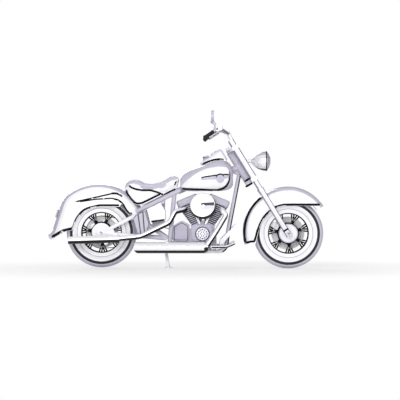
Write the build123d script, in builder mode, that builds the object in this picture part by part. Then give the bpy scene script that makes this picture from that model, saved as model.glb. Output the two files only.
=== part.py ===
from build123d import *
from math import acos, asin, cos, degrees, hypot, radians, sin
import os

# Cruiser motorcycle with a narrow-angle V-twin, upright on its centre stand. Millimetres.
# +X points forward, +Y to the rider's left, +Z up. The origin is on the floor, under the middle
# of the overall length. Stations (x) are measured ahead of the rear axle, heights from the floor.

# Overall layout
wheelbase = 1640
tail_reach = 473            # rear axle back to the rear fender's tip
nose_reach = 309            # front axle forward to the front fender's tip
mid_x = (wheelbase + nose_reach - tail_reach) / 2
fit_gap = 0.3               # between pieces that sit against each other
running_gap = 0.06          # radial, between a pin or shaft and its bore

# Wheels and tyres
tyre_r = 308
rear_lift = 8               # the centre stand holds the rear tyre this far off the floor
front_tyre_half = 65
rear_tyre_half = 70
rim_r = 190
rim_inner_r = 180
flange_r = 212
rim_half = 52
flange_t = 4
hub_r = 34
hub_flange_r = 84
hub_flange_y = 38
hub_flange_t = 7
spoke_r = 3.2
spoke_bundles = 7
rotor_r = 146
rotor_y = 68
rotor_t = 5
pulley_r = 140
belt_y = 87
belt_w = 24
belt_t = 6
belt_gap = 0.5
axle_r = 10
axle_bore_r = 6
rear_axle_z = tyre_r + rear_lift

# Steering head and fork
rake = 31.5
fork_lead = 8               # the fork's centre line passes this far behind the front axle
stem_offset = 60            # the steering axis lies this far behind the fork
leg_y = 122
tube_r = 20.5
cover_r = 29
slider_r = 25
stem_r = 15
head_r = 30
lower_clamp = 548           # clamps and tube ends are measured up the fork from the axle
upper_clamp = 868
clamp_t = 28
slider_top = 460
tube_foot = 396
tube_top = 958
riser_top = 1016

# Frame
frame_tube_r = 18
cradle_y = 118
cradle_z = 152
rail_y = 128
rail_r = 20
swing_y = 122
swing_r = 17
plate_t = 16

# Engine
crank_x = 891
crank_z = 270
bank_angle = 23             # each cylinder leans this far from upright
case_r = 128
case_half = 75
fin_count = 11
fin_start = 150
fin_end = 322
fin_t = 6
head_start = 262
rocker_top = 384
cleaner_x = 890
cleaner_z = 549
cleaner_r = 115
cleaner_inner_y = 105
cleaner_t = 62

# Body work
fender_t = 4
front_fender_half = 88
rear_fender_half = 100
seat_half = 150
tank_half = 160

# Exhaust
pipe_r = 22.5
lower_silencer_r = 49
upper_silencer_r = 33
lower_silencer_y = 206
upper_silencer_y = 196

# Stands
stand_pivot_x = 562
stand_pivot_z = 172
stand_foot_ahead = 25       # past upright, so that the load holds the stand on its stop
stand_pivot_y = 76
stand_foot_y = 122
stand_tube_r = 12
stand_pin_r = 8
prop_pivot_x = 905
prop_pivot_z = 152
prop_pivot_y = 151
prop_length = 134
prop_r = 10

front_axle_x = wheelbase
rake_s, rake_c = sin(radians(rake)), cos(radians(rake))


def at(x, y, z):
    """A point from its station, its distance to the left and its height."""
    return Vector(x - mid_x, y, z)


def side(y=0.0):
    """A plane seen from the right: local x is the station, local y the height, out is -Y."""
    return Plane(origin=(-mid_x, y, 0), x_dir=(1, 0, 0), z_dir=(0, -1, 0))


def on_fork(up, ahead=0.0, y=0.0):
    """A point this far up the fork's centre line from the axle and this far ahead of it."""
    return at(
        front_axle_x - fork_lead - up * rake_s + ahead * rake_c,
        y,
        tyre_r + up * rake_c + ahead * rake_s,
    )


def fork_plane(up):
    """Square to the fork: local x points ahead, local y to the left."""
    return Plane(origin=on_fork(up), x_dir=(rake_c, 0, rake_s), z_dir=(-rake_s, 0, rake_c))


def radial_plane(x, z, angle):
    """Through a cross axis: local x is +Y and local y points outwards at the angle."""
    a = radians(angle)
    return Plane(origin=at(x, 0, z), x_dir=(0, 1, 0), z_dir=(sin(a), 0, -cos(a)))


def cross_axis(x, z):
    """An axis along -Y, about which a positive turn goes from ahead to up."""
    return Axis(at(x, 0, z), (0, -1, 0))


def polar(x, z, r, angle):
    return (x + r * cos(radians(angle)), z + r * sin(radians(angle)))


def rod(start, end, r, mode=Mode.ADD):
    """A straight round bar."""
    run = end - start
    with BuildSketch(Plane(origin=start, z_dir=run)) as section:
        Circle(r)
    extrude(section.sketch, amount=run.length, mode=mode)


def cross_pin(x, z, r, y_from, y_to, mode=Mode.ADD):
    """A round bar or hole across the machine, from a larger y to a smaller one."""
    with BuildSketch(side(y_from)) as section:
        with Locations((x, z)):
            Circle(r)
    extrude(section.sketch, amount=y_from - y_to, mode=mode)


def slab(points, y_from, y_to, mode=Mode.ADD):
    """A flat plate with a straight-sided outline seen from the side."""
    with BuildSketch(side(y_from)) as section:
        with BuildLine():
            Polyline(*points, close=True)
        make_face()
    extrude(section.sketch, amount=y_from - y_to, mode=mode)


def bent_tube(points, radii, r):
    """A round tube along straight runs joined by arcs."""
    with BuildLine() as run:
        FilletPolyline(*points, radius=radii)
    with BuildSketch(Plane(origin=run.line @ 0, z_dir=run.line % 0)) as section:
        Circle(r)
    sweep(section.sketch, path=run.line)


def hoop(top, half_w, depth, inset):
    """A fender's rounded cross-section, closed straight across its lower edge."""
    crown_r, shoulder_r = 1.5 * half_w, 0.62 * half_w
    shoulder_y = half_w - shoulder_r
    rise = (crown_r - shoulder_r) ** 2 - shoulder_y**2
    crown_z = top - crown_r
    shoulder_z = crown_z + rise**0.5
    lean = asin(shoulder_y / (crown_r - shoulder_r))
    r1, r2 = crown_r - inset, shoulder_r - inset
    join = (r1 * sin(lean), crown_z + r1 * cos(lean))
    bend = radians(45) + lean / 2
    mid = (shoulder_y + r2 * sin(bend), shoulder_z + r2 * cos(bend))
    edge, low = half_w - inset, top - depth - inset
    with BuildLine() as outline:
        Polyline((-edge, shoulder_z), (-edge, low), (edge, low), (edge, shoulder_z))
        ThreePointArc((edge, shoulder_z), mid, join)
        ThreePointArc(join, (0, crown_z + r1), (-join[0], join[1]))
        ThreePointArc((-join[0], join[1]), (-mid[0], mid[1]), (-edge, shoulder_z))
    return outline.edges()


def crown_face(top, half_w, depth):
    """The hoop's wall alone, open along its lower edge."""
    make_face(hoop(top, half_w, depth, 0))
    make_face(hoop(top, half_w, depth, fender_t), mode=Mode.SUBTRACT)


# Wheels: station, axle height, half width of the tyre
wheels = {
    "front": (front_axle_x, tyre_r, front_tyre_half),
    "rear": (0, rear_axle_z, rear_tyre_half),
}
tyres = {}
for end, (wheel_x, wheel_z, half_w) in wheels.items():
    bead = rim_half - flange_t - fit_gap
    with BuildPart() as tyre:
        with BuildSketch(radial_plane(wheel_x, wheel_z, 90)):
            with BuildLine():
                lip = flange_r + fit_gap
                shoulder = (half_w - 8, tyre_r - 22)
                Polyline((-bead, lip), (-bead, rim_r + fit_gap), (bead, rim_r + fit_gap), (bead, lip))
                ThreePointArc((bead, lip), (half_w, (lip + tyre_r) / 2 - 8), shoulder)
                ThreePointArc(shoulder, (0, tyre_r), (-shoulder[0], shoulder[1]))
                ThreePointArc((-shoulder[0], shoulder[1]), (-half_w, (lip + tyre_r) / 2 - 8), (-bead, lip))
            make_face()
        revolve(axis=cross_axis(wheel_x, wheel_z))
    tyres[end] = tyre


def rim_and_spokes(x, z):
    """Channel rim, hub with two flanges, and bundles of crossed spokes."""
    with BuildSketch(radial_plane(x, z, 90)) as section:
        with BuildLine():
            inner = rim_half - flange_t
            Polyline(
                (-rim_half, rim_inner_r), (rim_half, rim_inner_r), (rim_half, flange_r), (inner, flange_r),
                (inner, rim_r), (-inner, rim_r), (-inner, flange_r), (-rim_half, flange_r), close=True,
            )
        make_face()
    revolve(section.sketch, axis=cross_axis(x, z))
    outer_y = hub_flange_y + hub_flange_t
    cross_pin(x, z, hub_r, outer_y, -outer_y)
    for y in (outer_y, -hub_flange_y):
        cross_pin(x, z, hub_flange_r, y, y - hub_flange_t)
    # Each row is one spoke: its turn at the hub, its turn at the rim, and its side.
    crossed = ((-11, 5, 1), (-4, 12, 1), (11, -5, -1), (4, -12, -1))
    for bundle in range(spoke_bundles):
        middle = -86 + bundle * 360 / spoke_bundles
        for at_hub, at_rim, hand in crossed:
            foot = polar(x, z, hub_flange_r - 6, middle + at_hub)
            tip = polar(x, z, rim_inner_r + 3, middle + at_rim)
            rod(at(foot[0], hand * (hub_flange_y + 3), foot[1]), at(tip[0], hand * 12, tip[1]), spoke_r)


def axle_hole(x, z, reach):
    cross_pin(x, z, axle_r + running_gap, reach, -reach, mode=Mode.SUBTRACT)


slider_inner_y = leg_y - slider_r
plate_inner_y = swing_y - swing_r
with BuildPart() as front_wheel:
    rim_and_spokes(front_axle_x, tyre_r)
    spacer_end = slider_inner_y - fit_gap
    cross_pin(front_axle_x, tyre_r, 17, spacer_end, -spacer_end)
    # Brake rotor on the left, with its carrier
    cross_pin(front_axle_x, tyre_r, 62, rotor_y, hub_flange_y)
    cross_pin(front_axle_x, tyre_r, rotor_r, rotor_y + rotor_t / 2, rotor_y - rotor_t / 2)
    with BuildSketch(side(rotor_y + rotor_t)):
        with Locations((front_axle_x, tyre_r)):
            with PolarLocations(84, 5):
                SlotArc(CenterArc((0, 0), 84, -20, 40), 26)
    extrude(amount=2 * rotor_t, mode=Mode.SUBTRACT)
    axle_hole(front_axle_x, tyre_r, 200)

with BuildPart() as rear_wheel:
    rim_and_spokes(0, rear_axle_z)
    spacer_end = plate_inner_y - fit_gap
    cross_pin(0, rear_axle_z, 18, spacer_end, -spacer_end)
    # Brake drum on the right, belt pulley on the left
    cross_pin(0, rear_axle_z, hub_flange_r, -hub_flange_y, -belt_y)
    pulley_left, pulley_right = belt_y + belt_w / 2 + 1, belt_y - belt_w / 2 - 1
    cross_pin(0, rear_axle_z, 60, pulley_left, hub_flange_y)
    cross_pin(0, rear_axle_z, pulley_r, pulley_left, pulley_right)
    cross_pin(0, rear_axle_z, pulley_r - 14, pulley_left, pulley_left - 8, mode=Mode.SUBTRACT)
    with BuildSketch(side(pulley_left)):
        with Locations((0, rear_axle_z)):
            with PolarLocations(94, 5):
                Circle(22)
    extrude(amount=belt_w + 2, mode=Mode.SUBTRACT)
    cross_pin(0, rear_axle_z, 60, pulley_left, hub_flange_y)
    axle_hole(0, rear_axle_z, 200)

# Axles: station, height, and how far out the pieces reach that each one clamps
nut_t = 13
axles = {}
for end, wheel_x, wheel_z, clamped in (
    ("front", front_axle_x, tyre_r, leg_y + slider_r),
    ("rear", 0, rear_axle_z, swing_y + swing_r),
):
    with BuildPart() as axle:
        nut_y = clamped + fit_gap
        cross_pin(wheel_x, wheel_z, axle_r, nut_y + nut_t, -nut_y - nut_t)
        for y in (nut_y + nut_t, -nut_y):
            with BuildSketch(side(y)):
                with Locations((wheel_x, wheel_z)):
                    RegularPolygon(19, 6)
            extrude(amount=nut_t)
        cross_pin(wheel_x, wheel_z, axle_bore_r, nut_y + 20, -nut_y - 20, mode=Mode.SUBTRACT)
    axles[end] = axle

# Steering: clamps and stem, fork legs, handlebar and what is on it
clamp_rear = 24
riser_r, riser_y = 18, 46
bar_r = 12.7
bar_hub = on_fork(riser_top, 15)
bar_x, bar_z = bar_hub.X + mid_x, bar_hub.Z
# The handlebar's left half, corner by corner: station, distance out, height
half_bar = (
    (bar_x, 0, bar_z),
    (bar_x - 6, 95, bar_z + 2),
    (bar_x - 50, 205, bar_z + 28),
    (bar_x - 101, 300, bar_z + 34),
    (bar_x - 205, 420, bar_z - 40),
)
with BuildPart() as fork_clamps:
    for up, rear_r in ((lower_clamp, 30), (upper_clamp, clamp_rear)):
        with BuildSketch(fork_plane(up)):
            with BuildLine():
                Polyline(
                    (-stem_offset - rear_r, -rear_r), (-stem_offset - rear_r, rear_r),
                    (-26, leg_y + 34), (30, leg_y + 34), (36, 60), (36, -60),
                    (30, -leg_y - 34), (-26, -leg_y - 34), close=True,
                )
            make_face()
            with Locations((0, leg_y), (0, -leg_y)):
                Circle(tube_r + fit_gap, mode=Mode.SUBTRACT)
        extrude(amount=clamp_t)
    rod(on_fork(lower_clamp - 14, -stem_offset), on_fork(upper_clamp + clamp_t + 22, -stem_offset), stem_r)
    # Two risers whose heads close round the handlebar
    for y in (-riser_y, riser_y):
        rod(on_fork(upper_clamp + clamp_t - 2, 4, y), on_fork(riser_top + bar_r + 6, 16, y), riser_r)
    bend_x, bend_y, bend_z = half_bar[1]
    for y in (bend_y, -bend_y):
        rod(bar_hub, at(bend_x, y, bend_z), bar_r + fit_gap, mode=Mode.SUBTRACT)

with BuildPart() as handlebar:
    for hand in (1, -1):
        bent_tube([at(x, hand * y, z) for x, y, z in half_bar], [60, 70, 60], bar_r)
grip_end = at(*half_bar[-1])
grip_dir = (grip_end - at(*half_bar[-2])).normalized()


def on_grip(back, hand, ahead=0.0, lift=0.0):
    """A point this far in from the bar's end, moved ahead and up."""
    p = grip_end - grip_dir * back
    return Vector(p.X + ahead, hand * p.Y, p.Z + lift)


grip_r = 17
with BuildPart() as grips:
    for hand in (1, -1):
        rod(on_grip(112, hand), on_grip(0, hand), grip_r)
        rod(on_grip(4, hand), on_grip(-8, hand), grip_r + 3)
        rod(on_grip(113, hand), on_grip(-fit_gap, hand), bar_r + fit_gap, mode=Mode.SUBTRACT)

housing_r = 23
with BuildPart() as hand_controls:
    for hand in (1, -1):
        rod(on_grip(150, hand), on_grip(112 + fit_gap, hand), housing_r)
        # Lever: from its perch ahead of the bar, outwards in front of the grip
        rod(on_grip(124, hand, 10, 4), on_grip(124, hand, 46, 8), 9)
        rod(on_grip(130, hand, 46, 8), on_grip(100, hand, 54, 6), 7)
        rod(on_grip(101, hand, 54, 6), on_grip(-4, hand, 40, 2), 6)
        rod(on_grip(190, hand), on_grip(100, hand), bar_r + fit_gap, mode=Mode.SUBTRACT)
    # Brake fluid reservoir beside the right-hand switch housing
    with BuildSketch(Plane(origin=on_grip(132, -1, 52, 8))):
        RectangleRounded(40, 36, 8)
    extrude(amount=34)

mirror_half_w, mirror_half_h, mirror_t = 62, 46, 26
with BuildPart() as mirrors:
    for hand in (1, -1):
        root = on_grip(136, hand, -4, housing_r)
        shoulder = root + Vector(16, 0, 34)
        head_low = shoulder + Vector(-26, hand * 20, 36)
        rod(root, shoulder, 5)
        rod(shoulder, head_low, 5)
        rod(on_grip(150, hand), on_grip(112, hand), housing_r + fit_gap, mode=Mode.SUBTRACT)
        middle = head_low + Vector(-4, 0, mirror_half_h - 8)
        back_face = middle - Vector(mirror_t / 2, 0, 0)
        with BuildSketch(Plane(origin=back_face, x_dir=(0, 1, 0), z_dir=(1, 0, 0))):
            Ellipse(mirror_half_w, mirror_half_h)
        extrude(amount=mirror_t)
    fillet(mirrors.edges().filter_by(GeomType.ELLIPSE).group_by(Axis.X)[-1], 0.7 * mirror_t)

cover_low = lower_clamp + clamp_t + fit_gap
cover_high = upper_clamp - fit_gap
with BuildPart() as fork_tubes:
    for y in (leg_y, -leg_y):
        rod(on_fork(tube_foot, 0, y), on_fork(tube_top, 0, y), tube_r)
        rod(on_fork(cover_low, 0, y), on_fork(cover_high, 0, y), cover_r)
        rod(on_fork(upper_clamp + clamp_t + fit_gap, 0, y), on_fork(tube_top, 0, y), tube_r + 4)

with BuildPart() as fork_sliders:
    for y in (leg_y, -leg_y):
        rod(on_fork(-26, 0, y), on_fork(slider_top, 0, y), slider_r)
        rod(on_fork(slider_top - 26, 0, y), on_fork(slider_top, 0, y), slider_r + 3)
        rod(on_fork(tube_foot - fit_gap, 0, y), on_fork(slider_top + 9, 0, y), tube_r + fit_gap,
            mode=Mode.SUBTRACT)
    cross_pin(front_axle_x, tyre_r, axle_r + fit_gap, 160, -160, mode=Mode.SUBTRACT)

# The caliper hangs behind the left slider and straddles the rotor.
pad_gap = 5
caliper_angle = 158
caliper_at = polar(front_axle_x, tyre_r, rotor_r - 18, caliper_angle)
with BuildPart() as brake_caliper:
    with BuildSketch(side(leg_y)):
        with Locations(Location((*caliper_at, 0), (0, 0, caliper_angle))):
            RectangleRounded(64, 88, 16)
    extrude(amount=leg_y - rotor_y + 14)
    slot = rotor_t / 2 + pad_gap
    cross_pin(front_axle_x, tyre_r, rotor_r + pad_gap, rotor_y + slot, rotor_y - slot, mode=Mode.SUBTRACT)
    rod(on_fork(-60, 0, leg_y), on_fork(320, 0, leg_y), slider_r + fit_gap, mode=Mode.SUBTRACT)

# Headlamp: a bullet on a bar between the fork covers
lamp_x = front_axle_x - 186        # the lens's rim
lamp_z = 942
lamp_r = 88
lamp_depth = 141
rim_ring = 12
bar_up = (lamp_z - tyre_r) / rake_c
lamp_plane = Plane(origin=at(lamp_x, 0, lamp_z), x_dir=(1, 0, 0), z_dir=(0, -1, 0))
lamp_axis = Axis(at(lamp_x, 0, lamp_z), (1, 0, 0))
with BuildPart() as headlamp:
    with BuildSketch(lamp_plane):
        with BuildLine():
            seat_r = lamp_r - 7
            ThreePointArc((-lamp_depth, 16), (-0.68 * lamp_depth, 0.66 * lamp_r), (-rim_ring, lamp_r - 3))
            Polyline((-rim_ring, lamp_r - 3), (-rim_ring, lamp_r), (0, lamp_r), (0, seat_r), (-5.3, seat_r),
                     (-5.3, seat_r - 5), (-62, 26), (-62, 0), (-lamp_depth, 0), (-lamp_depth, 16))
        make_face()
    revolve(axis=lamp_axis)
    # The bracket: a post from the shell back to a bar that meets both fork covers
    bar_half = leg_y - cover_r - fit_gap
    rod(on_fork(bar_up, 0, bar_half), on_fork(bar_up, 0, -bar_half), 15)
    rod(on_fork(bar_up, 0), at(lamp_x - lamp_depth + 12, 0, lamp_z), 12)

lens_dome = 31
with BuildPart() as headlamp_lens:
    with BuildSketch(lamp_plane):
        with BuildLine():
            lens_r = seat_r - fit_gap
            dome_r = (lens_r**2 + (lens_dome - 1) ** 2) / (2 * (lens_dome - 1))
            half_turn = asin(lens_r / dome_r) / 2
            over = (lens_dome - dome_r + dome_r * cos(half_turn), dome_r * sin(half_turn))
            ThreePointArc((lens_dome, 0), over, (1, lens_r))
            Polyline((1, lens_r), (-5, lens_r), (-5, 0), (lens_dome, 0))
        make_face()
    revolve(axis=lamp_axis)

# Front fender: the crown follows two arcs about points above the axle; plates make its sides.
rear_arc = (front_axle_x, tyre_r + 10, 401, 90, 196)
fore_arc = (front_axle_x, tyre_r + 51, 360, 36, 90)
front_crown_depth = 70
lip_proud = 3
with BuildPart() as front_fender:
    for x, z, r, start, end in (rear_arc, fore_arc):
        with BuildSketch(radial_plane(x, z, start)):
            crown_face(r, front_fender_half, front_crown_depth)
        revolve(axis=cross_axis(x, z), revolution_arc=end - start)
    inset = 64
    heel = polar(rear_arc[0], rear_arc[1], rear_arc[2] - inset, rear_arc[4])
    crest = (front_axle_x, tyre_r + 411 - inset)
    toe = polar(fore_arc[0], fore_arc[1], fore_arc[2] - inset, fore_arc[3])
    sides = (front_fender_half, -front_fender_half + fender_t)
    for y in sides:
        with BuildSketch(side(y)):
            with BuildLine():
                ThreePointArc(heel, polar(*rear_arc[:2], rear_arc[2] - inset, 143), crest)
                ThreePointArc(crest, polar(*fore_arc[:2], fore_arc[2] - inset, 63), toe)
                hem = (front_axle_x - 55, tyre_r + 243)
                Polyline(toe, (toe[0], tyre_r + 240), hem)
                ThreePointArc(hem, polar(front_axle_x, tyre_r, 250, 143), (front_axle_x - 262, tyre_r + 20))
                Polyline((front_axle_x - 262, tyre_r + 20), (front_axle_x - 290, tyre_r - 96), heel)
            make_face()
        extrude(amount=fender_t)
    # A rolled lip round the nose, out to the machine's foremost point
    lip_r = fore_arc[2] + lip_proud
    lip_end = degrees(acos(nose_reach / lip_r))
    with BuildSketch(radial_plane(fore_arc[0], fore_arc[1], lip_end)):
        crown_face(lip_r, front_fender_half + lip_proud, front_crown_depth)
    revolve(axis=cross_axis(fore_arc[0], fore_arc[1]), revolution_arc=fore_arc[3] + 2 - lip_end)
    # Bosses that bolt the fender between the sliders
    boss = on_fork(316)
    for y_from, y_to in ((slider_inner_y - fit_gap, front_fender_half - 2),
                         (2 - front_fender_half, fit_gap - slider_inner_y)):
        cross_pin(boss.X + mid_x, boss.Z, 20, y_from, y_to)

# Frame: head tube, backbone and seat rails
rail_low = (312, 501)
rail_high = (692, 689)
rail_slope = (rail_high[1] - rail_low[1]) / (rail_high[0] - rail_low[0])
cross_x = 668


def rail_height(x, above=0.0):
    """The seat rails' centre height at a station, moved square to the rail."""
    return rail_low[1] + (x - rail_low[0]) * rail_slope + above * hypot(1, rail_slope)


backbone_r = 27
backbone_front = on_fork(720, -stem_offset)
with BuildPart() as frame_backbone:
    head_low = on_fork(lower_clamp + clamp_t + fit_gap, -stem_offset)
    head_high = on_fork(upper_clamp - fit_gap, -stem_offset)
    rod(head_low, head_high, head_r)
    rod(at(cross_x, 0, rail_height(cross_x)), backbone_front, backbone_r)
    rod(at(cross_x, rail_y, rail_height(cross_x)), at(cross_x, -rail_y, rail_height(cross_x)), 18)
    for y in (rail_y, -rail_y):
        rod(at(rail_low[0], y, rail_low[1]), at(rail_high[0], y, rail_high[1]), rail_r)
    # Gusset between the backbone and the head tube
    neck = on_fork(600, -stem_offset - 6)
    neck_x, neck_z = neck.X + mid_x, neck.Z
    slab([(neck_x, neck_z), (neck_x - 118, 838), (neck_x - 60, 884)], 6, -6)
    rod(head_low, head_high, stem_r + running_gap, mode=Mode.SUBTRACT)

# Frame cradle: two loops from the head, under the engine and up to the seat rails
upright_foot = (590, cradle_z)
upright_head = (640, 668)
upright_lean = (upright_head[0] - upright_foot[0]) / (upright_head[1] - upright_foot[1])
lug_y = 92
mount_stations = (700, 820, 962)
cross_r = 11
mount_z = cradle_z + cross_r + fit_gap
with BuildPart() as frame_cradle:
    for hand in (1, -1):
        bent_tube(
            [at(1206, hand * 26, 812), at(1112, hand * cradle_y, 330), at(1088, hand * cradle_y, cradle_z),
             at(upright_foot[0], hand * cradle_y, upright_foot[1]),
             at(upright_head[0], hand * cradle_y, upright_head[1])],
            [200, 70, 60], frame_tube_r,
        )
    for x in mount_stations:
        cross_pin(x, cradle_z, cross_r, cradle_y, -cradle_y)
    # Lugs and pins for the centre stand
    lug = [(stand_pivot_x - 15, stand_pivot_z + 14), (stand_pivot_x - 15, stand_pivot_z - 12),
           (stand_pivot_x + 20, stand_pivot_z - 16), (650, cradle_z - 12), (650, cradle_z + 12), (600, 200)]
    slab(lug, lug_y + 14, lug_y)
    slab(lug, -lug_y, -lug_y - 14)
    for y_from, y_to in ((lug_y + 4, 56), (-56, -lug_y - 4)):
        cross_pin(stand_pivot_x, stand_pivot_z, stand_pin_r, y_from, y_to)
    # Pin for the side stand, on the left rail
    prop_tilt = 27.7
    prop_out = Vector(0, cos(radians(prop_tilt)), sin(radians(prop_tilt)))
    prop_pivot = at(prop_pivot_x, prop_pivot_y, prop_pivot_z)
    rod(prop_pivot - prop_out * 25, prop_pivot + prop_out * 13, stand_pin_r)
    rod(on_fork(lower_clamp - 40, -stem_offset), on_fork(upper_clamp, -stem_offset), head_r + fit_gap,
        mode=Mode.SUBTRACT)
    for y in (rail_y, -rail_y):
        rod(at(rail_low[0], y, rail_low[1]), at(rail_high[0], y, rail_high[1]), rail_r + fit_gap,
            mode=Mode.SUBTRACT)
    rod(at(cross_x, rail_y, rail_height(cross_x)), at(cross_x, -rail_y, rail_height(cross_x)), 18 + fit_gap,
        mode=Mode.SUBTRACT)

# Rear triangle, rigid, with the axle plates and the cross tube at its front
swing_z = 270
swing_pivot_r = 22
upright_x = upright_foot[0] + (swing_z - upright_foot[1]) * upright_lean
swing_x = upright_x - frame_tube_r * hypot(1, upright_lean) - fit_gap - swing_pivot_r
with BuildPart() as rear_triangle:
    for hand in (1, -1):
        y = hand * swing_y
        upper_run = [at(30, y, rear_axle_z + 10), at(290, y, 462), at(swing_x, y, swing_z + 8)]
        bent_tube(upper_run, [46], swing_r)
        rod(at(30, y, rear_axle_z - 8), at(swing_x, y, swing_z - 4), swing_r)
        y_from = y + plate_t / 2
        plate = ((-38, -26), (-38, 22), (-8, 44), (104, 52), (120, -18), (0, -42))
        slab([(x, rear_axle_z + rise) for x, rise in plate], y_from, y_from - plate_t)
        cross_pin(0, rear_axle_z, 26, y + swing_r, y - swing_r)
    cross_pin(swing_x, swing_z, swing_pivot_r, swing_y + swing_r, -swing_y - swing_r)
    cross_pin(0, rear_axle_z, axle_r + fit_gap, 200, -200, mode=Mode.SUBTRACT)

# Engine
deck = 140
foot_half_x, foot_half_y = 16, 50


def engine_foot(x, top):
    """A block on a cross tube of the cradle, up into the case above it."""
    fore, aft = x + foot_half_x, x - foot_half_x
    slab([(aft, mount_z), (fore, mount_z), (fore, top), (aft, top)], foot_half_y, -foot_half_y)


case_w = 236
with BuildPart() as crankcase:
    with BuildSketch(side(case_half)):
        with Locations((crank_x, crank_z)):
            Circle(case_r - 30)
        for lean in (bank_angle, -bank_angle):
            a = radians(lean)
            middle = (crank_x + deck * sin(a) / 2, crank_z + deck * cos(a) / 2)
            with Locations(Location((*middle, 0), (0, 0, -lean))):
                Rectangle(118, deck)
        with Locations((crank_x, crank_z)):
            RectangleRounded(case_w, 190, 46)
    extrude(amount=2 * case_half)
    # Feet on the cradle's two front cross tubes
    for x in mount_stations[1:]:
        engine_foot(x, crank_z - 70)
    # Cam chest on the right
    with BuildSketch(side(-case_half)):
        with Locations((883, 312)):
            RectangleRounded(178, 144, 34)
    extrude(amount=43)

cam_x, cam_z, cam_r = 886, 304, 57
cam_y = -case_half - 43 - fit_gap
with BuildPart() as cam_cover:
    cross_pin(cam_x, cam_z, cam_r, cam_y, cam_y - 15)
    fillet(cam_cover.faces().sort_by(Axis.Y)[0].edges(), 4)
    with BuildSketch(side(cam_y - 9)):
        with Locations((cam_x, cam_z)):
            with PolarLocations(39, 12):
                Circle(6)
            with PolarLocations(19, 6):
                Circle(5)
    extrude(amount=10, mode=Mode.SUBTRACT)

fin_half_y = 66
cover_half_y = 92
port_along, port_out = 292, 50
banks = {"rear": -1, "front": 1}


def bank_plane(lean_hand, along):
    """Square to a cylinder: local x points ahead, local y to the left."""
    a = radians(bank_angle * lean_hand)
    origin = at(crank_x + along * sin(a), 0, crank_z + along * cos(a))
    return Plane(origin=origin, x_dir=(cos(a), 0, -sin(a)), z_dir=(sin(a), 0, cos(a)))


def port_point(lean_hand):
    """The exhaust port's centre in the side view."""
    p = bank_plane(lean_hand, port_along).from_local_coords((lean_hand * port_out, 0))
    return p.X + mid_x, p.Z


def fin_half_x(along):
    return 56 + 0.245 * (along - fin_start)


cylinders, rocker_covers = {}, {}
for end, lean_hand in banks.items():
    with BuildPart() as cylinder:
        with BuildSketch(bank_plane(lean_hand, deck + fit_gap)):
            Circle(49)
        extrude(amount=head_start - deck)
        with BuildSketch(bank_plane(lean_hand, head_start)):
            RectangleRounded(132, 120, 20)
        extrude(amount=fin_end + fin_t - head_start)
        for i in range(fin_count):
            along = fin_start + (fin_end - fin_start) * i / (fin_count - 1)
            with BuildSketch(bank_plane(lean_hand, along)):
                RectangleRounded(2 * fin_half_x(along), 2 * fin_half_y, 26)
            extrude(amount=fin_t)
        px, pz = port_point(lean_hand)
        cross_pin(px, pz, 28, -40, -fin_half_y - 6)
    cylinders[end] = cylinder

    cover_base = fin_end + fin_t + fit_gap
    with BuildPart() as rocker_cover:
        with BuildSketch(bank_plane(lean_hand, cover_base)):
            RectangleRounded(2 * fin_half_x(fin_end) - 4, 2 * cover_half_y, 22)
        extrude(amount=rocker_top - cover_base)
        up_bank = Axis(at(0, 0, 0), bank_plane(lean_hand, 0).z_dir)
        fillet(rocker_cover.faces().sort_by(up_bank)[-1].edges(), 16)
    rocker_covers[end] = rocker_cover

# Pushrod tubes, two beside each cylinder, from the cam chest up to the rocker covers
pushrod_r, pushrod_y = 8, -case_half - 9.3
with BuildPart() as pushrod_tubes:
    for lean_hand in banks.values():
        for offset in (-40, -16):
            top = bank_plane(lean_hand, cover_base - 0.8).from_local_coords((lean_hand * offset, pushrod_y))
            low = at(cam_x + lean_hand * (34 + 0.3 * offset), pushrod_y, 384 + fit_gap + 3.2)
            rod(low, top, pushrod_r)

# Air cleaner on the right, with its inlet between the cylinders and a stub to each of them
fin_pitch = (fin_end - fin_start) / (fin_count - 1)
stub_along = fin_start + 6 * fin_pitch + fin_t / 2
with BuildPart() as intake:
    cross_pin(cleaner_x, cleaner_z, 21, 40, -cleaner_inner_y + fit_gap)
    cross_pin(cleaner_x, cleaner_z, 30, -78, -cleaner_inner_y + fit_gap)
    for lean_hand in banks.values():
        seat_point = bank_plane(lean_hand, stub_along)
        fin_edge = fin_half_x(stub_along - fin_t / 2) + fit_gap
        stub_end = seat_point.from_local_coords((-lean_hand * fin_edge, 0))
        rod(stub_end - seat_point.x_dir * (lean_hand * 16), stub_end, 13)

with BuildPart() as air_cleaner:
    cross_pin(cleaner_x, cleaner_z, cleaner_r, -cleaner_inner_y, -cleaner_inner_y - cleaner_t)
    fillet(air_cleaner.faces().sort_by(Axis.Y)[0].edges(), 16)
    outer = -cleaner_inner_y - cleaner_t
    with BuildSketch(side(outer + 7)):
        with BuildLine():
            past_rim = cleaner_x + cleaner_r + 5
            Polyline((cleaner_x - 16, cleaner_z + 28), (past_rim, cleaner_z + 36),
                     (past_rim, cleaner_z - 27), (cleaner_x - 16, cleaner_z - 27), close=True)
        make_face()
    extrude(amount=10, mode=Mode.SUBTRACT)
    cross_pin(cleaner_x + 2, cleaner_z, 13, outer + 8, outer)

# Gearbox with its output pulley, behind the engine
gear_half = 72
case_rear = crank_x - case_w / 2 - fit_gap
belt_front = (652, 285, 46)
with BuildPart() as gearbox:
    with BuildSketch(side(gear_half)):
        with BuildLine():
            Polyline((626, 228), (case_rear, 228), (case_rear, 384), (700, 420), (626, 372), close=True)
        make_face()
        fillet(vertices(), 18)
    extrude(amount=2 * gear_half)
    with BuildSketch(side(-gear_half)):
        with Locations((690, 300)):
            SlotCenterToCenter(70, 84)
    extrude(amount=14)
    # Foot on the cradle's rear cross tube
    engine_foot(mount_stations[0], 250)
    cross_pin(belt_front[0], belt_front[1], belt_front[2], belt_y + belt_w / 2, gear_half)

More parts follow.
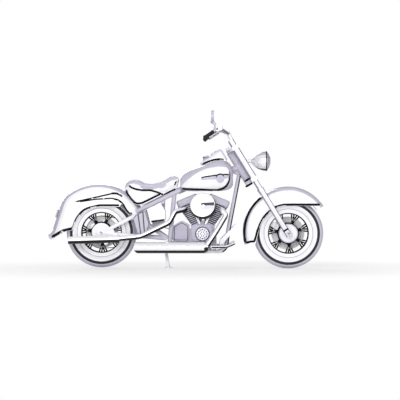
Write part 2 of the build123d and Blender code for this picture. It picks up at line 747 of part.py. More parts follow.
with BuildPart() as drive_belt:
    with BuildSketch(side(belt_y + belt_w / 2)):
        make_hull(
            [Edge.make_circle(pulley_r + belt_gap + belt_t, Plane((0, rear_axle_z, 0))),
             Edge.make_circle(belt_front[2] + belt_gap + belt_t, Plane((belt_front[0], belt_front[1], 0)))]
        )
        make_hull(
            [Edge.make_circle(pulley_r + belt_gap, Plane((0, rear_axle_z, 0))),
             Edge.make_circle(belt_front[2] + belt_gap, Plane((belt_front[0], belt_front[1], 0)))],
            mode=Mode.SUBTRACT,
        )
    extrude(amount=belt_w)

# Primary drive case on the left
clutch_x, clutch_z = 722, 264
with BuildPart() as primary_cover:
    with BuildSketch(side(152)):
        make_hull([Edge.make_circle(88, Plane((crank_x, crank_z, 0))),
                   Edge.make_circle(78, Plane((clutch_x, clutch_z, 0)))])
    extrude(amount=52 - fit_gap)
    fillet(primary_cover.faces().sort_by(Axis.Y)[-1].edges(), 18)
    cross_pin(crank_x, crank_z, 70, 110, case_half + fit_gap)
    cross_pin(clutch_x, clutch_z, 40, 156, 120)

# Rear fender: two arcs and a straight tail that flares out at its foot, with flat side plates
back_arc = (-30, 308, 440, 24, 125)
tail_arc_r, tail_angle = 200, 162
reach = back_arc[2] - tail_arc_r
tail_arc = (*polar(back_arc[0], back_arc[1], reach, back_arc[4]), tail_arc_r, back_arc[4], tail_angle)
tail_run, flare_r = 215, 80
rear_crown_depth, plate_inset = 84, 77
tail_dir = (-sin(radians(tail_angle)), cos(radians(tail_angle)))
tail_start = polar(tail_arc[0], tail_arc[1], tail_arc_r, tail_angle)
tail_end = (tail_start[0] + tail_run * tail_dir[0], tail_start[1] + tail_run * tail_dir[1])
flare = polar(tail_end[0], tail_end[1], flare_r, tail_angle)
# The flare turns back until it reaches the tip
flare_turn = tail_angle - 180 + degrees(acos((-tail_reach - flare[0]) / flare_r))
hem_front = (-330, rear_axle_z + 2)


def tail_point(run, inset):
    """On the straight tail, this far down it and this far inside the crown."""
    base = polar(tail_arc[0], tail_arc[1], tail_arc_r - inset, tail_angle)
    return (base[0] + run * tail_dir[0], base[1] + run * tail_dir[1])


with BuildPart() as rear_fender:
    for x, z, r, start, end in (back_arc, tail_arc):
        with BuildSketch(radial_plane(x, z, start)):
            crown_face(r, rear_fender_half, rear_crown_depth)
        revolve(axis=cross_axis(x, z), revolution_arc=end - start)
    with BuildSketch(radial_plane(tail_arc[0], tail_arc[1], tail_angle)):
        crown_face(tail_arc_r, rear_fender_half, rear_crown_depth)
    extrude(amount=-tail_run)
    with BuildSketch(radial_plane(flare[0], flare[1], tail_angle)):
        crown_face(-flare_r, rear_fender_half, rear_crown_depth)
    revolve(axis=cross_axis(flare[0], flare[1]), revolution_arc=-flare_turn)
    for y in (rear_fender_half, -rear_fender_half + fender_t):
        with BuildSketch(side(y)):
            with BuildLine():
                x, z, r = back_arc[:3]
                front_top = polar(x, z, r - plate_inset, 52)
                join = polar(x, z, r - plate_inset, back_arc[4])
                ThreePointArc(front_top, polar(x, z, r - plate_inset, 88), join)
                tail_top = tail_point(0, plate_inset)
                ThreePointArc(join, polar(*tail_arc[:2], tail_arc_r - plate_inset, 143), tail_top)
                hem = (-252, rear_axle_z + 22)
                skirt_top = (-20, rear_axle_z + 226)
                Polyline(tail_top, tail_point(tail_run, plate_inset), hem_front, hem)
                ThreePointArc(hem, polar(0, rear_axle_z, 236, 128), skirt_top)
                Polyline(skirt_top, (160, skirt_top[1]), front_top)
            make_face()
        extrude(amount=fender_t)
    # The lower edge rises from below the tip towards the wheel
    tip_low = (-tail_reach - 20, rear_axle_z - 72)
    slab([tip_low, (-tail_reach + 18, rear_axle_z - 68), hem_front, (hem_front[0], tip_low[1] - 40),
          (tip_low[0], tip_low[1] - 40)], rear_fender_half + 1, -rear_fender_half - 1, mode=Mode.SUBTRACT)

strut_t = 7
rack_hole_x, rack_hole_z, rack_spacing, rack_hole_r = -30, 616, 100, 4
with BuildPart() as fender_struts:
    for y_from in (rear_fender_half + fit_gap + strut_t, -rear_fender_half - fit_gap):
        with BuildSketch(side(y_from)):
            with BuildLine():
                Polyline((-247, 590), (93, 668), (136, 668), (178, 649), (193, 633), (290, 524), (276, 478),
                         (241, 473), (220, 497), (178, 569), (144, 594), (93, 607), (-54, 597), (-193, 576),
                         close=True)
            make_face()
            for half in (-rack_spacing / 2, rack_spacing / 2):
                with Locations((rack_hole_x + half, rack_hole_z)):
                    Circle(rack_hole_r, mode=Mode.SUBTRACT)
        extrude(amount=strut_t)

with BuildPart() as tail_lamp:
    lamp_mid = tail_point(90, -fit_gap)
    out_dir = Vector(cos(radians(tail_angle)), 0, sin(radians(tail_angle)))
    with BuildSketch(Plane(origin=at(lamp_mid[0], 0, lamp_mid[1]), x_dir=(0, 1, 0), z_dir=out_dir)):
        RectangleRounded(64, 76, 24)
    extrude(amount=14)
    fillet(tail_lamp.faces().sort_by(Axis(at(0, 0, 0), out_dir))[-1].edges(), 6)

# Battery box between the seat rails, and the louvred and plain covers outside them
cover_y, cover_t = swing_y + swing_r + fit_gap, 28
with BuildPart() as battery_box:
    rail_under = -rail_r - fit_gap
    top_rear, top_front = rail_height(446, rail_under), rail_height(556, rail_under)
    slab([(446, 366), (556, 366), (556, top_front), (446, top_rear)], 70, -70)
    slab([(446, top_rear - 22), (556, top_front - 22), (556, top_front), (446, top_rear)],
         cover_y - fit_gap, fit_gap - cover_y)

with BuildPart() as louvre_boxes:
    for hand in (1, -1):
        y_from = cover_y + cover_t if hand > 0 else -cover_y
        box_head = [(x, rail_height(x, -rail_r - 2)) for x in (300, 392)]
        slab([(277, 436), *box_head, (424, 389), (403, 318), (315, 297)], y_from, y_from - cover_t)
        outer_y = hand * (cover_y + cover_t)
        # Two grooves leave three slats
        for at_top, at_foot in (((318, 476), (344, 290)), ((360, 498), (376, 296))):
            face_from = max(outer_y, outer_y - hand * 9)
            slab([at_top, (at_top[0] + 10, at_top[1] + 4), (at_foot[0] + 10, at_foot[1]), at_foot],
                 face_from, face_from - 9, mode=Mode.SUBTRACT)

with BuildPart() as side_covers:
    for hand in (1, -1):
        y_from = cover_y + cover_t - 6 if hand > 0 else -cover_y
        with BuildSketch(side(y_from)):
            with BuildLine():
                cover_head = [(x, rail_height(x, -rail_r - 4)) for x in (408, 517)]
                Polyline(*cover_head, (561, 506), (561, 418), (430, 404), (426, 416), close=True)
            make_face()
            fillet(vertices(), 5)
        extrude(amount=cover_t - 6)

# Fuel tank: rounded sections along its length, with a tunnel for the backbone
# Columns: station, lowest, highest, half width, corner radius
tank_sections = (
    (690, 682, 794, 92, 40),
    (760, 679, 856, 132, 62),
    (880, 678, 900, tank_half, 84),
    (1020, 679, 948, tank_half - 4, 96),
    (1110, 690, 932, 118, 82),
    (1154, 738, 850, 72, 44),
)
with BuildPart() as fuel_tank:
    for x, low, high, half_w, corner in tank_sections:
        with BuildSketch(Plane(origin=at(x, 0, (low + high) / 2), x_dir=(0, 1, 0), z_dir=(1, 0, 0))):
            RectangleRounded(2 * half_w, high - low, corner)
    loft()
    rear_x, rear_z = cross_x, rail_height(cross_x)
    front_x, front_z = backbone_front.X + mid_x, backbone_front.Z
    slope = (front_z - rear_z) / (front_x - rear_x)
    roof = backbone_r * hypot(1, slope)
    tunnel_head = (front_x + 60, front_z + 60 * slope + roof + fit_gap)
    slab([(rear_x, 600), (rear_x, rear_z + roof + fit_gap), tunnel_head, (front_x + 60, 600)],
         backbone_r + fit_gap, -backbone_r - fit_gap, mode=Mode.SUBTRACT)
    head_run = (on_fork(lower_clamp, -stem_offset), on_fork(upper_clamp, -stem_offset))
    rod(*head_run, head_r + 8, mode=Mode.SUBTRACT)

console_half = 46
cap_x, cap_r, cap_top = 919, 29, 987
console_clear = 50          # from the steering axis, past the top clamp's swing
with BuildPart() as dash_console:
    with BuildSketch(side(console_half)):
        with BuildLine():
            stop = on_fork(0, -stem_offset - console_clear)
            stop_x = stop.X + mid_x - (960 - stop.Z) * rake_s / rake_c
            crest_x = stop_x - (1046 - 960) * rake_s / rake_c
            Polyline((866, 925), (crest_x - 26, 1042), (crest_x, 1046), (stop_x, 960), (stop_x - 30, 880),
                     (880, 880), close=True)
        make_face()
    extrude(amount=2 * console_half)
    flanks = dash_console.faces().sort_by(Axis.Y)
    fillet(flanks[0].edges() + flanks[-1].edges(), 9)
    # Filler cap
    with BuildSketch(Plane(origin=at(cap_x, 0, cap_top - 50))):
        Circle(cap_r)
    extrude(amount=50)
    fillet(dash_console.faces().filter_by(Plane.XY).sort_by(Axis.Z)[-1].edges(), 4)
    add(fuel_tank.part, mode=Mode.SUBTRACT)

# Seat: a dual cushion that climbs on to the tank, hollowed over the fender
with BuildPart() as seat:
    with BuildSketch(side(seat_half)):
        with BuildLine():
            rest = rail_r + fit_gap
            top = [(193, 713), (202, 743), (235, 772), (290, 780), (341, 764), (382, 743), (445, 741),
                   (530, 757), (600, 799), (655, 816), (682, 806)]
            nose = [(677, 776), (672, rail_height(672, rest) + 6)]
            on_rail = [(x, rail_height(x, rest)) for x in (672, 372)]
            low = [*on_rail, (319, 549), (290, 561), (209, 654), (205, 713)]
            Polyline(*top, *nose, *low, close=True)
        make_face()
    extrude(amount=2 * seat_half)
    # Narrower towards the tank
    with BuildSketch(Plane.XY.offset(400)):
        with BuildLine():
            corners = [(150, 96), (215, 132), (320, seat_half), (470, seat_half), (600, 122), (700, 88)]
            outline = [(x - mid_x, y) for x, y in corners]
            Polyline(*outline, *[(x, -y) for x, y in reversed(outline)], close=True)
        make_face()
    extrude(amount=600, mode=Mode.INTERSECT)
    cross_pin(back_arc[0], back_arc[1], back_arc[2] + fit_gap, rear_fender_half + 1, -rear_fender_half - 1,
              mode=Mode.SUBTRACT)
    behind_cross = at(cross_x - 30, 0, rail_height(cross_x) - 30 * slope)
    rod(behind_cross, backbone_front, backbone_r + 1, mode=Mode.SUBTRACT)

# Exhausts, both on the right
with BuildPart() as exhaust_front:
    px, pz = port_point(1)
    y = -lower_silencer_y
    silencer_z = 186
    header = [at(px, -fin_half_y - 6 - fit_gap, pz), at(px, -134, pz), at(1092, -146, 470),
              at(1006, -186, 326), at(912, y, silencer_z), at(780, y, silencer_z)]
    bent_tube(header, [34, 34, 160, 60], pipe_r)
    rod(at(292, y, silencer_z), at(900, y, silencer_z), lower_silencer_r)
    with BuildSketch(Plane(origin=at(900, y, silencer_z), z_dir=(1, 0, 0))):
        Circle(lower_silencer_r)
    extrude(amount=34, taper=30)
    rod(at(200, y, silencer_z), at(380, y, silencer_z), lower_silencer_r - 5, mode=Mode.SUBTRACT)
    slab([(200, 120), (336, 120), (278, 172), (300, 250), (200, 250)], y + 60, y - 60, mode=Mode.SUBTRACT)

with BuildPart() as exhaust_rear:
    px, pz = port_point(-1)
    y = -upper_silencer_y
    header = [at(px, -fin_half_y - 6 - fit_gap, pz), at(px, -144, pz), at(648, -166, 500),
              at(596, -180, 404), at(345, y, 283), at(120, y, 262)]
    bent_tube(header, [24, 40, 60, 180], pipe_r)
    rod(at(-285, y, 250), at(150, y, 263), upper_silencer_r)
    rod(at(128, y, 262.3), at(162, y, 263.4), upper_silencer_r + 4)
    rod(at(-300, y, 249.6), at(-200, y, 252.5), upper_silencer_r - 4, mode=Mode.SUBTRACT)

# Footboards on arms that lie across the lower rails, and the two foot levers
arm_z = cradle_z + frame_tube_r + fit_gap + 9
board_inner, board_outer = 162, 272
with BuildPart() as footboards:
    for hand in (1, -1):
        y_from = board_outer if hand > 0 else -board_inner
        slab([(956, arm_z + 5), (1100, arm_z + 5), (1176, 218), (1166, 238), (1094, 206), (956, 206)],
             y_from, y_from - board_outer + board_inner)
        for x in (972, 1010):
            rod(at(x, hand * (cradle_y - 8), arm_z), at(x, hand * (board_outer - 12), arm_z), 9)
        # Ear that the foot lever turns on
        ear_from = 186 if hand > 0 else -178
        slab([(1030, 200), (1078, 200), (1066, 262), (1042, 262)], ear_from, ear_from - 8)

with BuildPart() as foot_levers:
    for hand in (1, -1):
        y_from = 204 if hand > 0 else -186 - fit_gap
        arm = [(1040, 222), (1064, 222), (1190, 368), (1176, 390), (1040, 254)]
        slab(arm, y_from, y_from - 18 + fit_gap)
        pad_from = 232 if hand > 0 else -180
        slab([(1160, 372), (1180, 392), (1192, 380), (1172, 358)], pad_from, pad_from - 52)

# Centre stand, down, and the side stand, folded
foot_t = 8
stand_foot_x = stand_pivot_x + stand_foot_ahead
with BuildPart() as centre_stand:
    for hand in (1, -1):
        hub_mid = hand * (stand_pivot_y - 4)
        cross_pin(stand_pivot_x, stand_pivot_z, 16, hub_mid + 12, hub_mid - 12)
        leg_head = at(stand_pivot_x, hand * (stand_pivot_y - 5), stand_pivot_z - 4)
        rod(leg_head, at(stand_foot_x, hand * stand_foot_y, 6), stand_tube_r)
        y_from = hand * stand_foot_y + 19
        sole = ((-34, 0), (30, 0), (30, foot_t), (-26, foot_t))
        slab([(stand_foot_x + x, z) for x, z in sole], y_from, y_from - 38)
    brace = (stand_pivot_x + 9, stand_pivot_z - 64)
    cross_pin(brace[0], brace[1], 9, stand_pivot_y + 10, -stand_pivot_y - 10)
    cross_pin(stand_pivot_x, stand_pivot_z, stand_pin_r + running_gap, 100, -100, mode=Mode.SUBTRACT)

with BuildPart() as side_stand:
    rod(prop_pivot - prop_out * 9, prop_pivot + prop_out * 9, 14)
    prop_foot = prop_pivot - Vector(prop_length, 0, 0)
    rod(prop_pivot, prop_foot, prop_r)
    with BuildSketch(Plane(origin=prop_foot - Vector(6, 0, 0), x_dir=(0, 1, 0), z_dir=(1, 0, 0))):
        RectangleRounded(22, 22, 6)
    extrude(amount=8)
    bore_run = (prop_pivot - prop_out * 30, prop_pivot + prop_out * 30)
    rod(*bore_run, stand_pin_r + running_gap, mode=Mode.SUBTRACT)

pieces = {
    "frame_backbone": frame_backbone,
    "frame_cradle": frame_cradle,
    "rear_triangle": rear_triangle,
    "rear_axle": axles["rear"],
    "crankcase": crankcase,
    "cam_cover": cam_cover,
    "cylinder_rear": cylinders["rear"],
    "cylinder_front": cylinders["front"],
    "rocker_cover_rear": rocker_covers["rear"],
    "rocker_cover_front": rocker_covers["front"],
    "pushrod_tubes": pushrod_tubes,
    "intake": intake,
    "air_cleaner": air_cleaner,
    "gearbox": gearbox,
    "drive_belt": drive_belt,
    "primary_cover": primary_cover,
    "battery_box": battery_box,
    "louvre_boxes": louvre_boxes,
    "side_covers": side_covers,
    "fuel_tank": fuel_tank,
    "dash_console": dash_console,
    "seat": seat,
    "rear_fender": rear_fender,
    "fender_struts": fender_struts,
    "tail_lamp": tail_lamp,
    "exhaust_front": exhaust_front,
    "exhaust_rear": exhaust_rear,
    "footboards": footboards,
    "foot_levers": foot_levers,
    "fork_clamps": fork_clamps,
    "fork_tubes": fork_tubes,
    "fork_sliders": fork_sliders,
    "front_axle": axles["front"],
    "handlebar": handlebar,
    "grips": grips,
    "hand_controls": hand_controls,
    "mirrors": mirrors,
    "headlamp": headlamp,
    "headlamp_lens": headlamp_lens,
    "front_fender": front_fender,
    "brake_caliper": brake_caliper,
    "front_tyre": tyres["front"],
    "front_wheel": front_wheel,
    "rear_tyre": tyres["rear"],
    "rear_wheel": rear_wheel,
    "centre_stand": centre_stand,
    "side_stand": side_stand,
}
os.makedirs("parts", exist_ok=True)
for name, piece in pieces.items():
    piece.part.label = name
    export_step(piece.part, f"parts/{name}.step")
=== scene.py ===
from math import cos, pi, radians, sin
import bmesh
import bpy
import numpy as np
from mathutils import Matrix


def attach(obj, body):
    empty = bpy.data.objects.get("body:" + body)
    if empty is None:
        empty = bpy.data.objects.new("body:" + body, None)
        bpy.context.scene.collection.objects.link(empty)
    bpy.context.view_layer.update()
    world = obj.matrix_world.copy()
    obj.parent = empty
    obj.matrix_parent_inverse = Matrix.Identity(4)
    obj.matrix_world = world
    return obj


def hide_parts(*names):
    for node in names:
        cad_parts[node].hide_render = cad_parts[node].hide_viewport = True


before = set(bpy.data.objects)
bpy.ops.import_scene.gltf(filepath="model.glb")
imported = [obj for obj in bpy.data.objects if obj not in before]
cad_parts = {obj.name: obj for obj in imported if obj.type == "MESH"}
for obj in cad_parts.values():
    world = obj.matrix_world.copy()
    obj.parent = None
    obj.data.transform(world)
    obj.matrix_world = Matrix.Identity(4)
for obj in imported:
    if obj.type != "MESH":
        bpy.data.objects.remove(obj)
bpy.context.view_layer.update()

# Camera and floor: a long lens from the rider's right, as the picture is drawn, level with the
# middle of the machine. Floor and sky are plain white and only the shadow shows on the floor.
scene = bpy.context.scene
scene.view_settings.view_transform = "Standard"
view_width, view_distance = 3.52, 19.0
camera_data = bpy.data.cameras.new("camera")
camera_data.sensor_width = 36
camera_data.lens = 36 * view_distance / view_width
camera_data.clip_end = 100
camera = bpy.data.objects.new("camera", camera_data)
camera.location = (0.126, -view_distance, 0.70)
camera.rotation_euler = (pi / 2 - radians(0.3), 0, 0)
scene.collection.objects.link(camera)
scene.camera = camera


def srgb(*levels):
    """Scene-linear colour from the 0 to 255 levels that a screen shows."""
    part = np.array(levels) / 255
    return (*np.where(part < 0.04045, part / 12.92, ((part + 0.055) / 1.055) ** 2.4), 1.0)


def put(tree, kind, **settings):
    """A node with its properties, given first, and with sockets set by value or linked from a socket."""
    made = tree.nodes.new(kind)
    for name, value in settings.items():
        if not name.startswith("in_"):
            setattr(made, name, value)
            continue
        key = name[3:]
        socket = made.inputs[int(key) if key.isdigit() else key.replace("_", " ")]
        if isinstance(value, bpy.types.NodeSocket):
            tree.links.new(value, socket)
        else:
            socket.default_value = value
    return made


def number(tree, operation, *values, **settings):
    """A math node's result, from numbers or sockets."""
    settings.update({f"in_{i}": value for i, value in enumerate(values)})
    return put(tree, "ShaderNodeMath", operation=operation, **settings).outputs[0]


def floor_white():
    """Diffuse near the machine, so that it keeps its shadow, and plain white to the camera further out."""
    material = bpy.data.materials.new("floor_white")
    material.use_nodes = True
    tree = material.node_tree
    tree.nodes.clear()
    shade = put(tree, "ShaderNodeBsdfDiffuse", in_Color=(0.93, 0.93, 0.93, 1))
    glow = put(tree, "ShaderNodeEmission", in_Color=(1, 1, 1, 1), in_Strength=1.0)
    place = put(tree, "ShaderNodeTexCoord").outputs["Object"]
    reach = put(tree, "ShaderNodeVectorMath", operation="LENGTH", in_0=place).outputs["Value"]
    far = put(tree, "ShaderNodeMapRange", in_0=reach, in_1=1.5, in_2=2.6, in_3=0.55, in_4=1.0)
    rays = put(tree, "ShaderNodeLightPath")
    seen = number(tree, "MAXIMUM", rays.outputs["Is Camera Ray"], rays.outputs["Is Glossy Ray"])
    mixing = number(tree, "MULTIPLY", far.outputs[0], seen)
    mixed = put(tree, "ShaderNodeMixShader", in_0=mixing, in_1=shade.outputs[0], in_2=glow.outputs[0])
    put(tree, "ShaderNodeOutputMaterial", in_Surface=mixed.outputs[0])
    return material


floor_data = bpy.data.meshes.new("floor")
floor_data.from_pydata([(-30, -30, 0), (30, -30, 0), (30, 30, 0), (-30, 30, 0)], [], [(0, 1, 2, 3)])
floor_data.materials.append(floor_white())
floor = bpy.data.objects.new("floor", floor_data)
floor.location.z = -0.001
scene.collection.objects.link(floor)

world = bpy.data.worlds.new("soft_sky")
world.use_nodes = True
scene.world = world
sky = world.node_tree
sky.nodes.clear()
sky_rays = put(sky, "ShaderNodeLightPath")
sky_seen = number(sky, "MAXIMUM", sky_rays.outputs["Is Camera Ray"], sky_rays.outputs["Is Transmission Ray"])
sky_soft = put(sky, "ShaderNodeBackground", in_Color=(0.96, 0.96, 1.0, 1), in_Strength=0.37)
sky_white = put(sky, "ShaderNodeBackground", in_Color=(1, 1, 1, 1), in_Strength=1.0)
sky_mix = put(sky, "ShaderNodeMixShader", in_0=sky_seen, in_1=sky_soft.outputs[0], in_2=sky_white.outputs[0])
put(sky, "ShaderNodeOutputWorld", in_Surface=sky_mix.outputs[0])

# Soft lamps: name, place, turn about X and Z, size and power. The key is above the camera.
for lamp_name, place, tilt, turn, size, power in (
    ("key", (-1.0, -7.0, 2.6), 75, -8, 4.5, 300),
    ("fill", (4.5, -2.5, 2.2), 72, 60, 3.5, 60),
    ("back", (-2.0, 5.0, 3.0), -66, 0, 4.0, 190),
    ("top", (0.2, 0.0, 5.0), 0, 0, 4.0, 25),
):
    lamp_data = bpy.data.lights.new(lamp_name, "AREA")
    lamp_data.size = size
    lamp_data.energy = power
    lamp = bpy.data.objects.new(lamp_name, lamp_data)
    lamp.location = place
    lamp.rotation_euler = (radians(tilt), 0, radians(turn))
    scene.collection.objects.link(lamp)

# Fenders: pressed steel in white pearl, with a lilac band along the crown, two-tone paint that stands in
# for the shade where the crown turns away from the light. A black rubber bead lines each open edge, as the
# heavy lines of the picture do, and the struts are edged with it too: these beads are painted shadow lines.
mid_x = 0.738
# ink is near black: the colour of rubber and print, and also of painted shade and painted shadow lines.
white, lilac, ink = srgb(247, 247, 250), srgb(196, 192, 208), srgb(10, 10, 14)
lilac_deep, shade_and_sealer_grey = srgb(160, 156, 176), srgb(58, 56, 68)
spoke_black, alloy_white = srgb(40, 38, 48), srgb(236, 235, 242)
far_off = 9.0  # past every place, radius and lean, for masks with no end


def group(name, inputs, outputs):
    """An empty shader group with number or vector sockets in and number sockets out, and its sockets."""
    tree = bpy.data.node_groups.new(name, "ShaderNodeTree")
    for label, value in inputs.items():
        kind = "NodeSocketVector" if value is None else "NodeSocketFloat"
        socket = tree.interface.new_socket(label, in_out="INPUT", socket_type=kind)
        if value is not None:
            socket.default_value = value
    for label in outputs:
        tree.interface.new_socket(label, in_out="OUTPUT", socket_type="NodeSocketFloat")
    return tree, tree.nodes.new("NodeGroupInput").outputs, tree.nodes.new("NodeGroupOutput").inputs


# Group: 1 where a value lies between two others, with soft ends
band_group, given, result = group("band", {"Value": 0.0, "From": 0.0, "To": 1.0, "Soft": 0.001}, ["Mask"])
past_start = number(band_group, "SUBTRACT", given["Value"], given["From"])
short_of_end = number(band_group, "SUBTRACT", given["To"], given["Value"])
nearest = number(band_group, "MINIMUM", past_start, short_of_end)
share = number(band_group, "DIVIDE", nearest, given["Soft"])
band_group.links.new(number(band_group, "ADD", share, 0.5, use_clamp=True), result["Mask"])

# Group: fine uneven surface, as a slow shade from 0 to 1 and a fine height
grain_group, given, result = group("fine_grain", {"Place": None, "Scale": 400.0}, ["Shade", "Height"])
fine = put(grain_group, "ShaderNodeTexNoise", in_Vector=given["Place"], in_Scale=given["Scale"], in_Detail=3.0)
coarse = put(grain_group, "ShaderNodeTexNoise", in_Vector=given["Place"], in_Scale=9.0, in_Detail=2.0)
grain_group.links.new(coarse.outputs["Fac"], result["Shade"])
grain_group.links.new(fine.outputs["Fac"], result["Height"])

# Group: distance from a cross axis, and the turn about it
wheel_group, given, result = group("about_axle", {"Place": None, "Station": 0.0, "Level": 0.0}, ["Radius", "Turn"])
axes = put(wheel_group, "ShaderNodeSeparateXYZ", in_0=given["Place"]).outputs
ahead = number(wheel_group, "SUBTRACT", axes[0], given["Station"])
above = number(wheel_group, "SUBTRACT", axes[2], given["Level"])
spread = put(wheel_group, "ShaderNodeCombineXYZ", in_0=ahead, in_1=0.0, in_2=above).outputs[0]
from_axle = put(wheel_group, "ShaderNodeVectorMath", operation="LENGTH", in_0=spread).outputs["Value"]
wheel_group.links.new(from_axle, result["Radius"])
wheel_group.links.new(number(wheel_group, "ARCTAN2", above, ahead), result["Turn"])

# Group: a value that grows in one direction of the side view, for places and for surface leans
slope_group, given, result = group("side_slope", {"Along": 0.0, "Up": 0.0, "Ahead": 1.0, "Above": 0.0,
                                                  "Start": 0.0}, ["Value"])
forward = number(slope_group, "MULTIPLY", given["Along"], given["Ahead"])
upward = number(slope_group, "MULTIPLY_ADD", given["Up"], given["Above"], forward)
slope_group.links.new(number(slope_group, "SUBTRACT", upward, given["Start"]), result["Value"])


class Finish:
    """A material with one Principled shader, whose colour, roughness and bump are layered on."""

    def __init__(self, name, colour, roughness, metallic=0.0, coat=0.0, grain=400.0, bump=0.02, uneven=0.04):
        self.material = bpy.data.materials.new(name)
        self.material.use_nodes = True
        self.tree = self.material.node_tree
        self.shader = self.tree.nodes["Principled BSDF"]
        coord = put(self.tree, "ShaderNodeTexCoord")
        self.place = coord.outputs["Object"]
        self.axes = put(self.tree, "ShaderNodeSeparateXYZ", in_0=self.place).outputs
        self.lean = put(self.tree, "ShaderNodeSeparateXYZ", in_0=coord.outputs["Normal"]).outputs
        self.shade, self.height = self.grouped(grain_group, in_Place=self.place, in_Scale=grain)
        self.shader.inputs["Metallic"].default_value = metallic
        self.shader.inputs["Coat Weight"].default_value = coat
        rough = put(self.tree, "ShaderNodeMapRange", in_0=self.shade, in_1=0.3, in_2=0.7,
                    in_3=max(roughness - 0.06, 0.02), in_4=roughness + 0.06)
        self.tree.links.new(rough.outputs[0], self.shader.inputs["Roughness"])
        dulled = tuple(c * (1 - uneven) for c in colour[:3]) + (1.0,)
        self.colour = self.mix(self.shade, dulled, colour)
        self.bump_height, self.bump_depth = self.height, bump

    def mix(self, share, first, second):
        """The first colour where share is 0 and the second where it is 1."""
        return put(self.tree, "ShaderNodeMix", data_type="RGBA", in_0=share, in_6=first, in_7=second).outputs[2]

    def grouped(self, tree, **sockets):
        """The outputs of a shader group placed in this material."""
        return put(self.tree, "ShaderNodeGroup", node_tree=tree, **sockets).outputs

    def maths(self, operation, first, second=0.0):
        """A math node's result in this material."""
        return number(self.tree, operation, first, second)

    def both(self, *masks):
        """1 where every mask is 1."""
        joined = masks[0]
        for mask in masks[1:]:
            joined = self.maths("MULTIPLY", joined, mask)
        return joined

    def band(self, value, start, end, soft=0.001):
        """1 where the value lies between start and end, with soft ends."""
        return self.grouped(band_group, in_Value=value, in_From=start, in_To=end, in_Soft=soft)[0]

    def past(self, value, start, soft=0.001):
        """1 where the value is past start."""
        return self.band(value, start, far_off, soft)

    def other(self, mask):
        """1 where the mask is 0."""
        return self.maths("SUBTRACT", 1.0, mask)

    def about(self, axle):
        """Radius from an axle and turn about it."""
        return self.grouped(wheel_group, in_Place=self.place, in_Station=axle[0], in_Level=axle[1])

    def slope(self, axes, ahead, above, start=0.0):
        """How far a place or a lean goes in this direction of the side view, less a start."""
        return self.grouped(slope_group, in_Along=axes[0], in_Up=axes[2], in_Ahead=ahead, in_Above=above,
                            in_Start=start)[0]

    def underside(self):
        """How far the surface faces down and ahead, away from the light, where painted shade goes and the picture
        draws its heavy lines.
        """
        return self.slope(self.lean, 0.75, -0.66)

    def beside(self, first, last):
        """Distance in metres to the left of the run from one (station, height) in mm to another."""
        (x1, z1), (x2, z2) = first, last
        length = ((x2 - x1) ** 2 + (z2 - z1) ** 2) ** 0.5
        ahead, above = (z1 - z2) / length, (x2 - x1) / length
        start = (x1 / 1000 - mid_x) * ahead + z1 / 1000 * above
        return self.slope(self.axes, ahead, above, start)

    def layer(self, mask, colour):
        """Paints this colour over what is there, where the mask is 1."""
        self.colour = self.mix(mask, self.colour, colour)
        return self

    def raise_by(self, height, depth):
        """Uses this height for the bump in place of the grain."""
        self.bump_height, self.bump_depth = height, depth
        return self

    def done(self):
        """The material, with its colour and bump plugged in to the shader."""
        self.tree.links.new(self.colour, self.shader.inputs["Base Color"])
        bump = put(self.tree, "ShaderNodeBump", in_Strength=self.bump_depth, in_Distance=0.001,
                   in_Height=self.bump_height)
        self.tree.links.new(bump.outputs[0], self.shader.inputs["Normal"])
        return self.material


def paint(material, *names):
    """Gives CAD nodes their finish."""
    for name in names:
        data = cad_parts[name].data
        data.materials.clear()
        data.materials.append(material)


def station(mm):
    """Scene x in metres from mm ahead of the rear axle."""
    return mm / 1000 - mid_x


def front_fender_paint():
    """White, and lilac as painted shade past an arc that lies inside the fender's outline, ahead of the axle and
    behind it.
    """
    made = Finish("front_fender_paint", white, 0.22, coat=0.6)
    rear_r, _ = made.about((station(1640), 0.318))
    fore_r, _ = made.about((station(1640), 0.359))
    fore = made.past(made.axes[0], station(1640))
    aft = made.other(fore)
    made.layer(made.both(fore, made.past(fore_r, 0.328)), lilac)
    return made.layer(made.both(aft, made.past(rear_r, 0.368)), lilac).done()


def rear_fender_paint():
    """White, and lilac as painted shade past two arcs and, along the tail, past a straight line."""
    made = Finish("rear_fender_paint", white, 0.22, coat=0.6)
    back_r, _ = made.about((station(-30), 0.308))
    tail_r, _ = made.about((station(-168), 0.505))
    back = made.past(made.axes[0], station(-282))
    tail = made.other(back)
    high = made.past(made.axes[2], 0.555, 0.004)
    low = made.other(high)
    made.layer(made.both(back, made.past(back_r, 0.407)), lilac)
    made.layer(made.both(tail, high, made.past(tail_r, 0.167)), lilac)
    along_tail = made.beside((-424.3, 361.9), (-357.9, 566.4))
    return made.layer(made.both(tail, low, made.past(along_tail, -0.032)), lilac).done()


paint(front_fender_paint(), "front_fender")
paint(rear_fender_paint(), "rear_fender")
white_gloss = Finish("white_gloss", white, 0.22, coat=0.6).done()
# Black rubber, for real rubber parts and for the painted shadow lines laid on the machine.
black_rubber = Finish("black_rubber", ink, 0.75, bump=0.08)
black_rubber.shader.inputs["Specular IOR Level"].default_value = 0.15
black_rubber = black_rubber.done()
lilac_satin = Finish("lilac_satin", lilac, 0.42, grain=700.0, bump=0.12).done()
paint(white_gloss, "fender_struts", "side_covers")


def piece(name, mesh, body, material, smooth=True):
    """Puts a finished mesh in the scene as a piece of one body."""
    mesh.polygons.foreach_set("use_smooth", np.full(len(mesh.polygons), smooth))
    mesh.materials.clear()
    mesh.materials.append(material)
    made = bpy.data.objects.new(name, mesh)
    scene.collection.objects.link(made)
    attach(made, body)
    return made


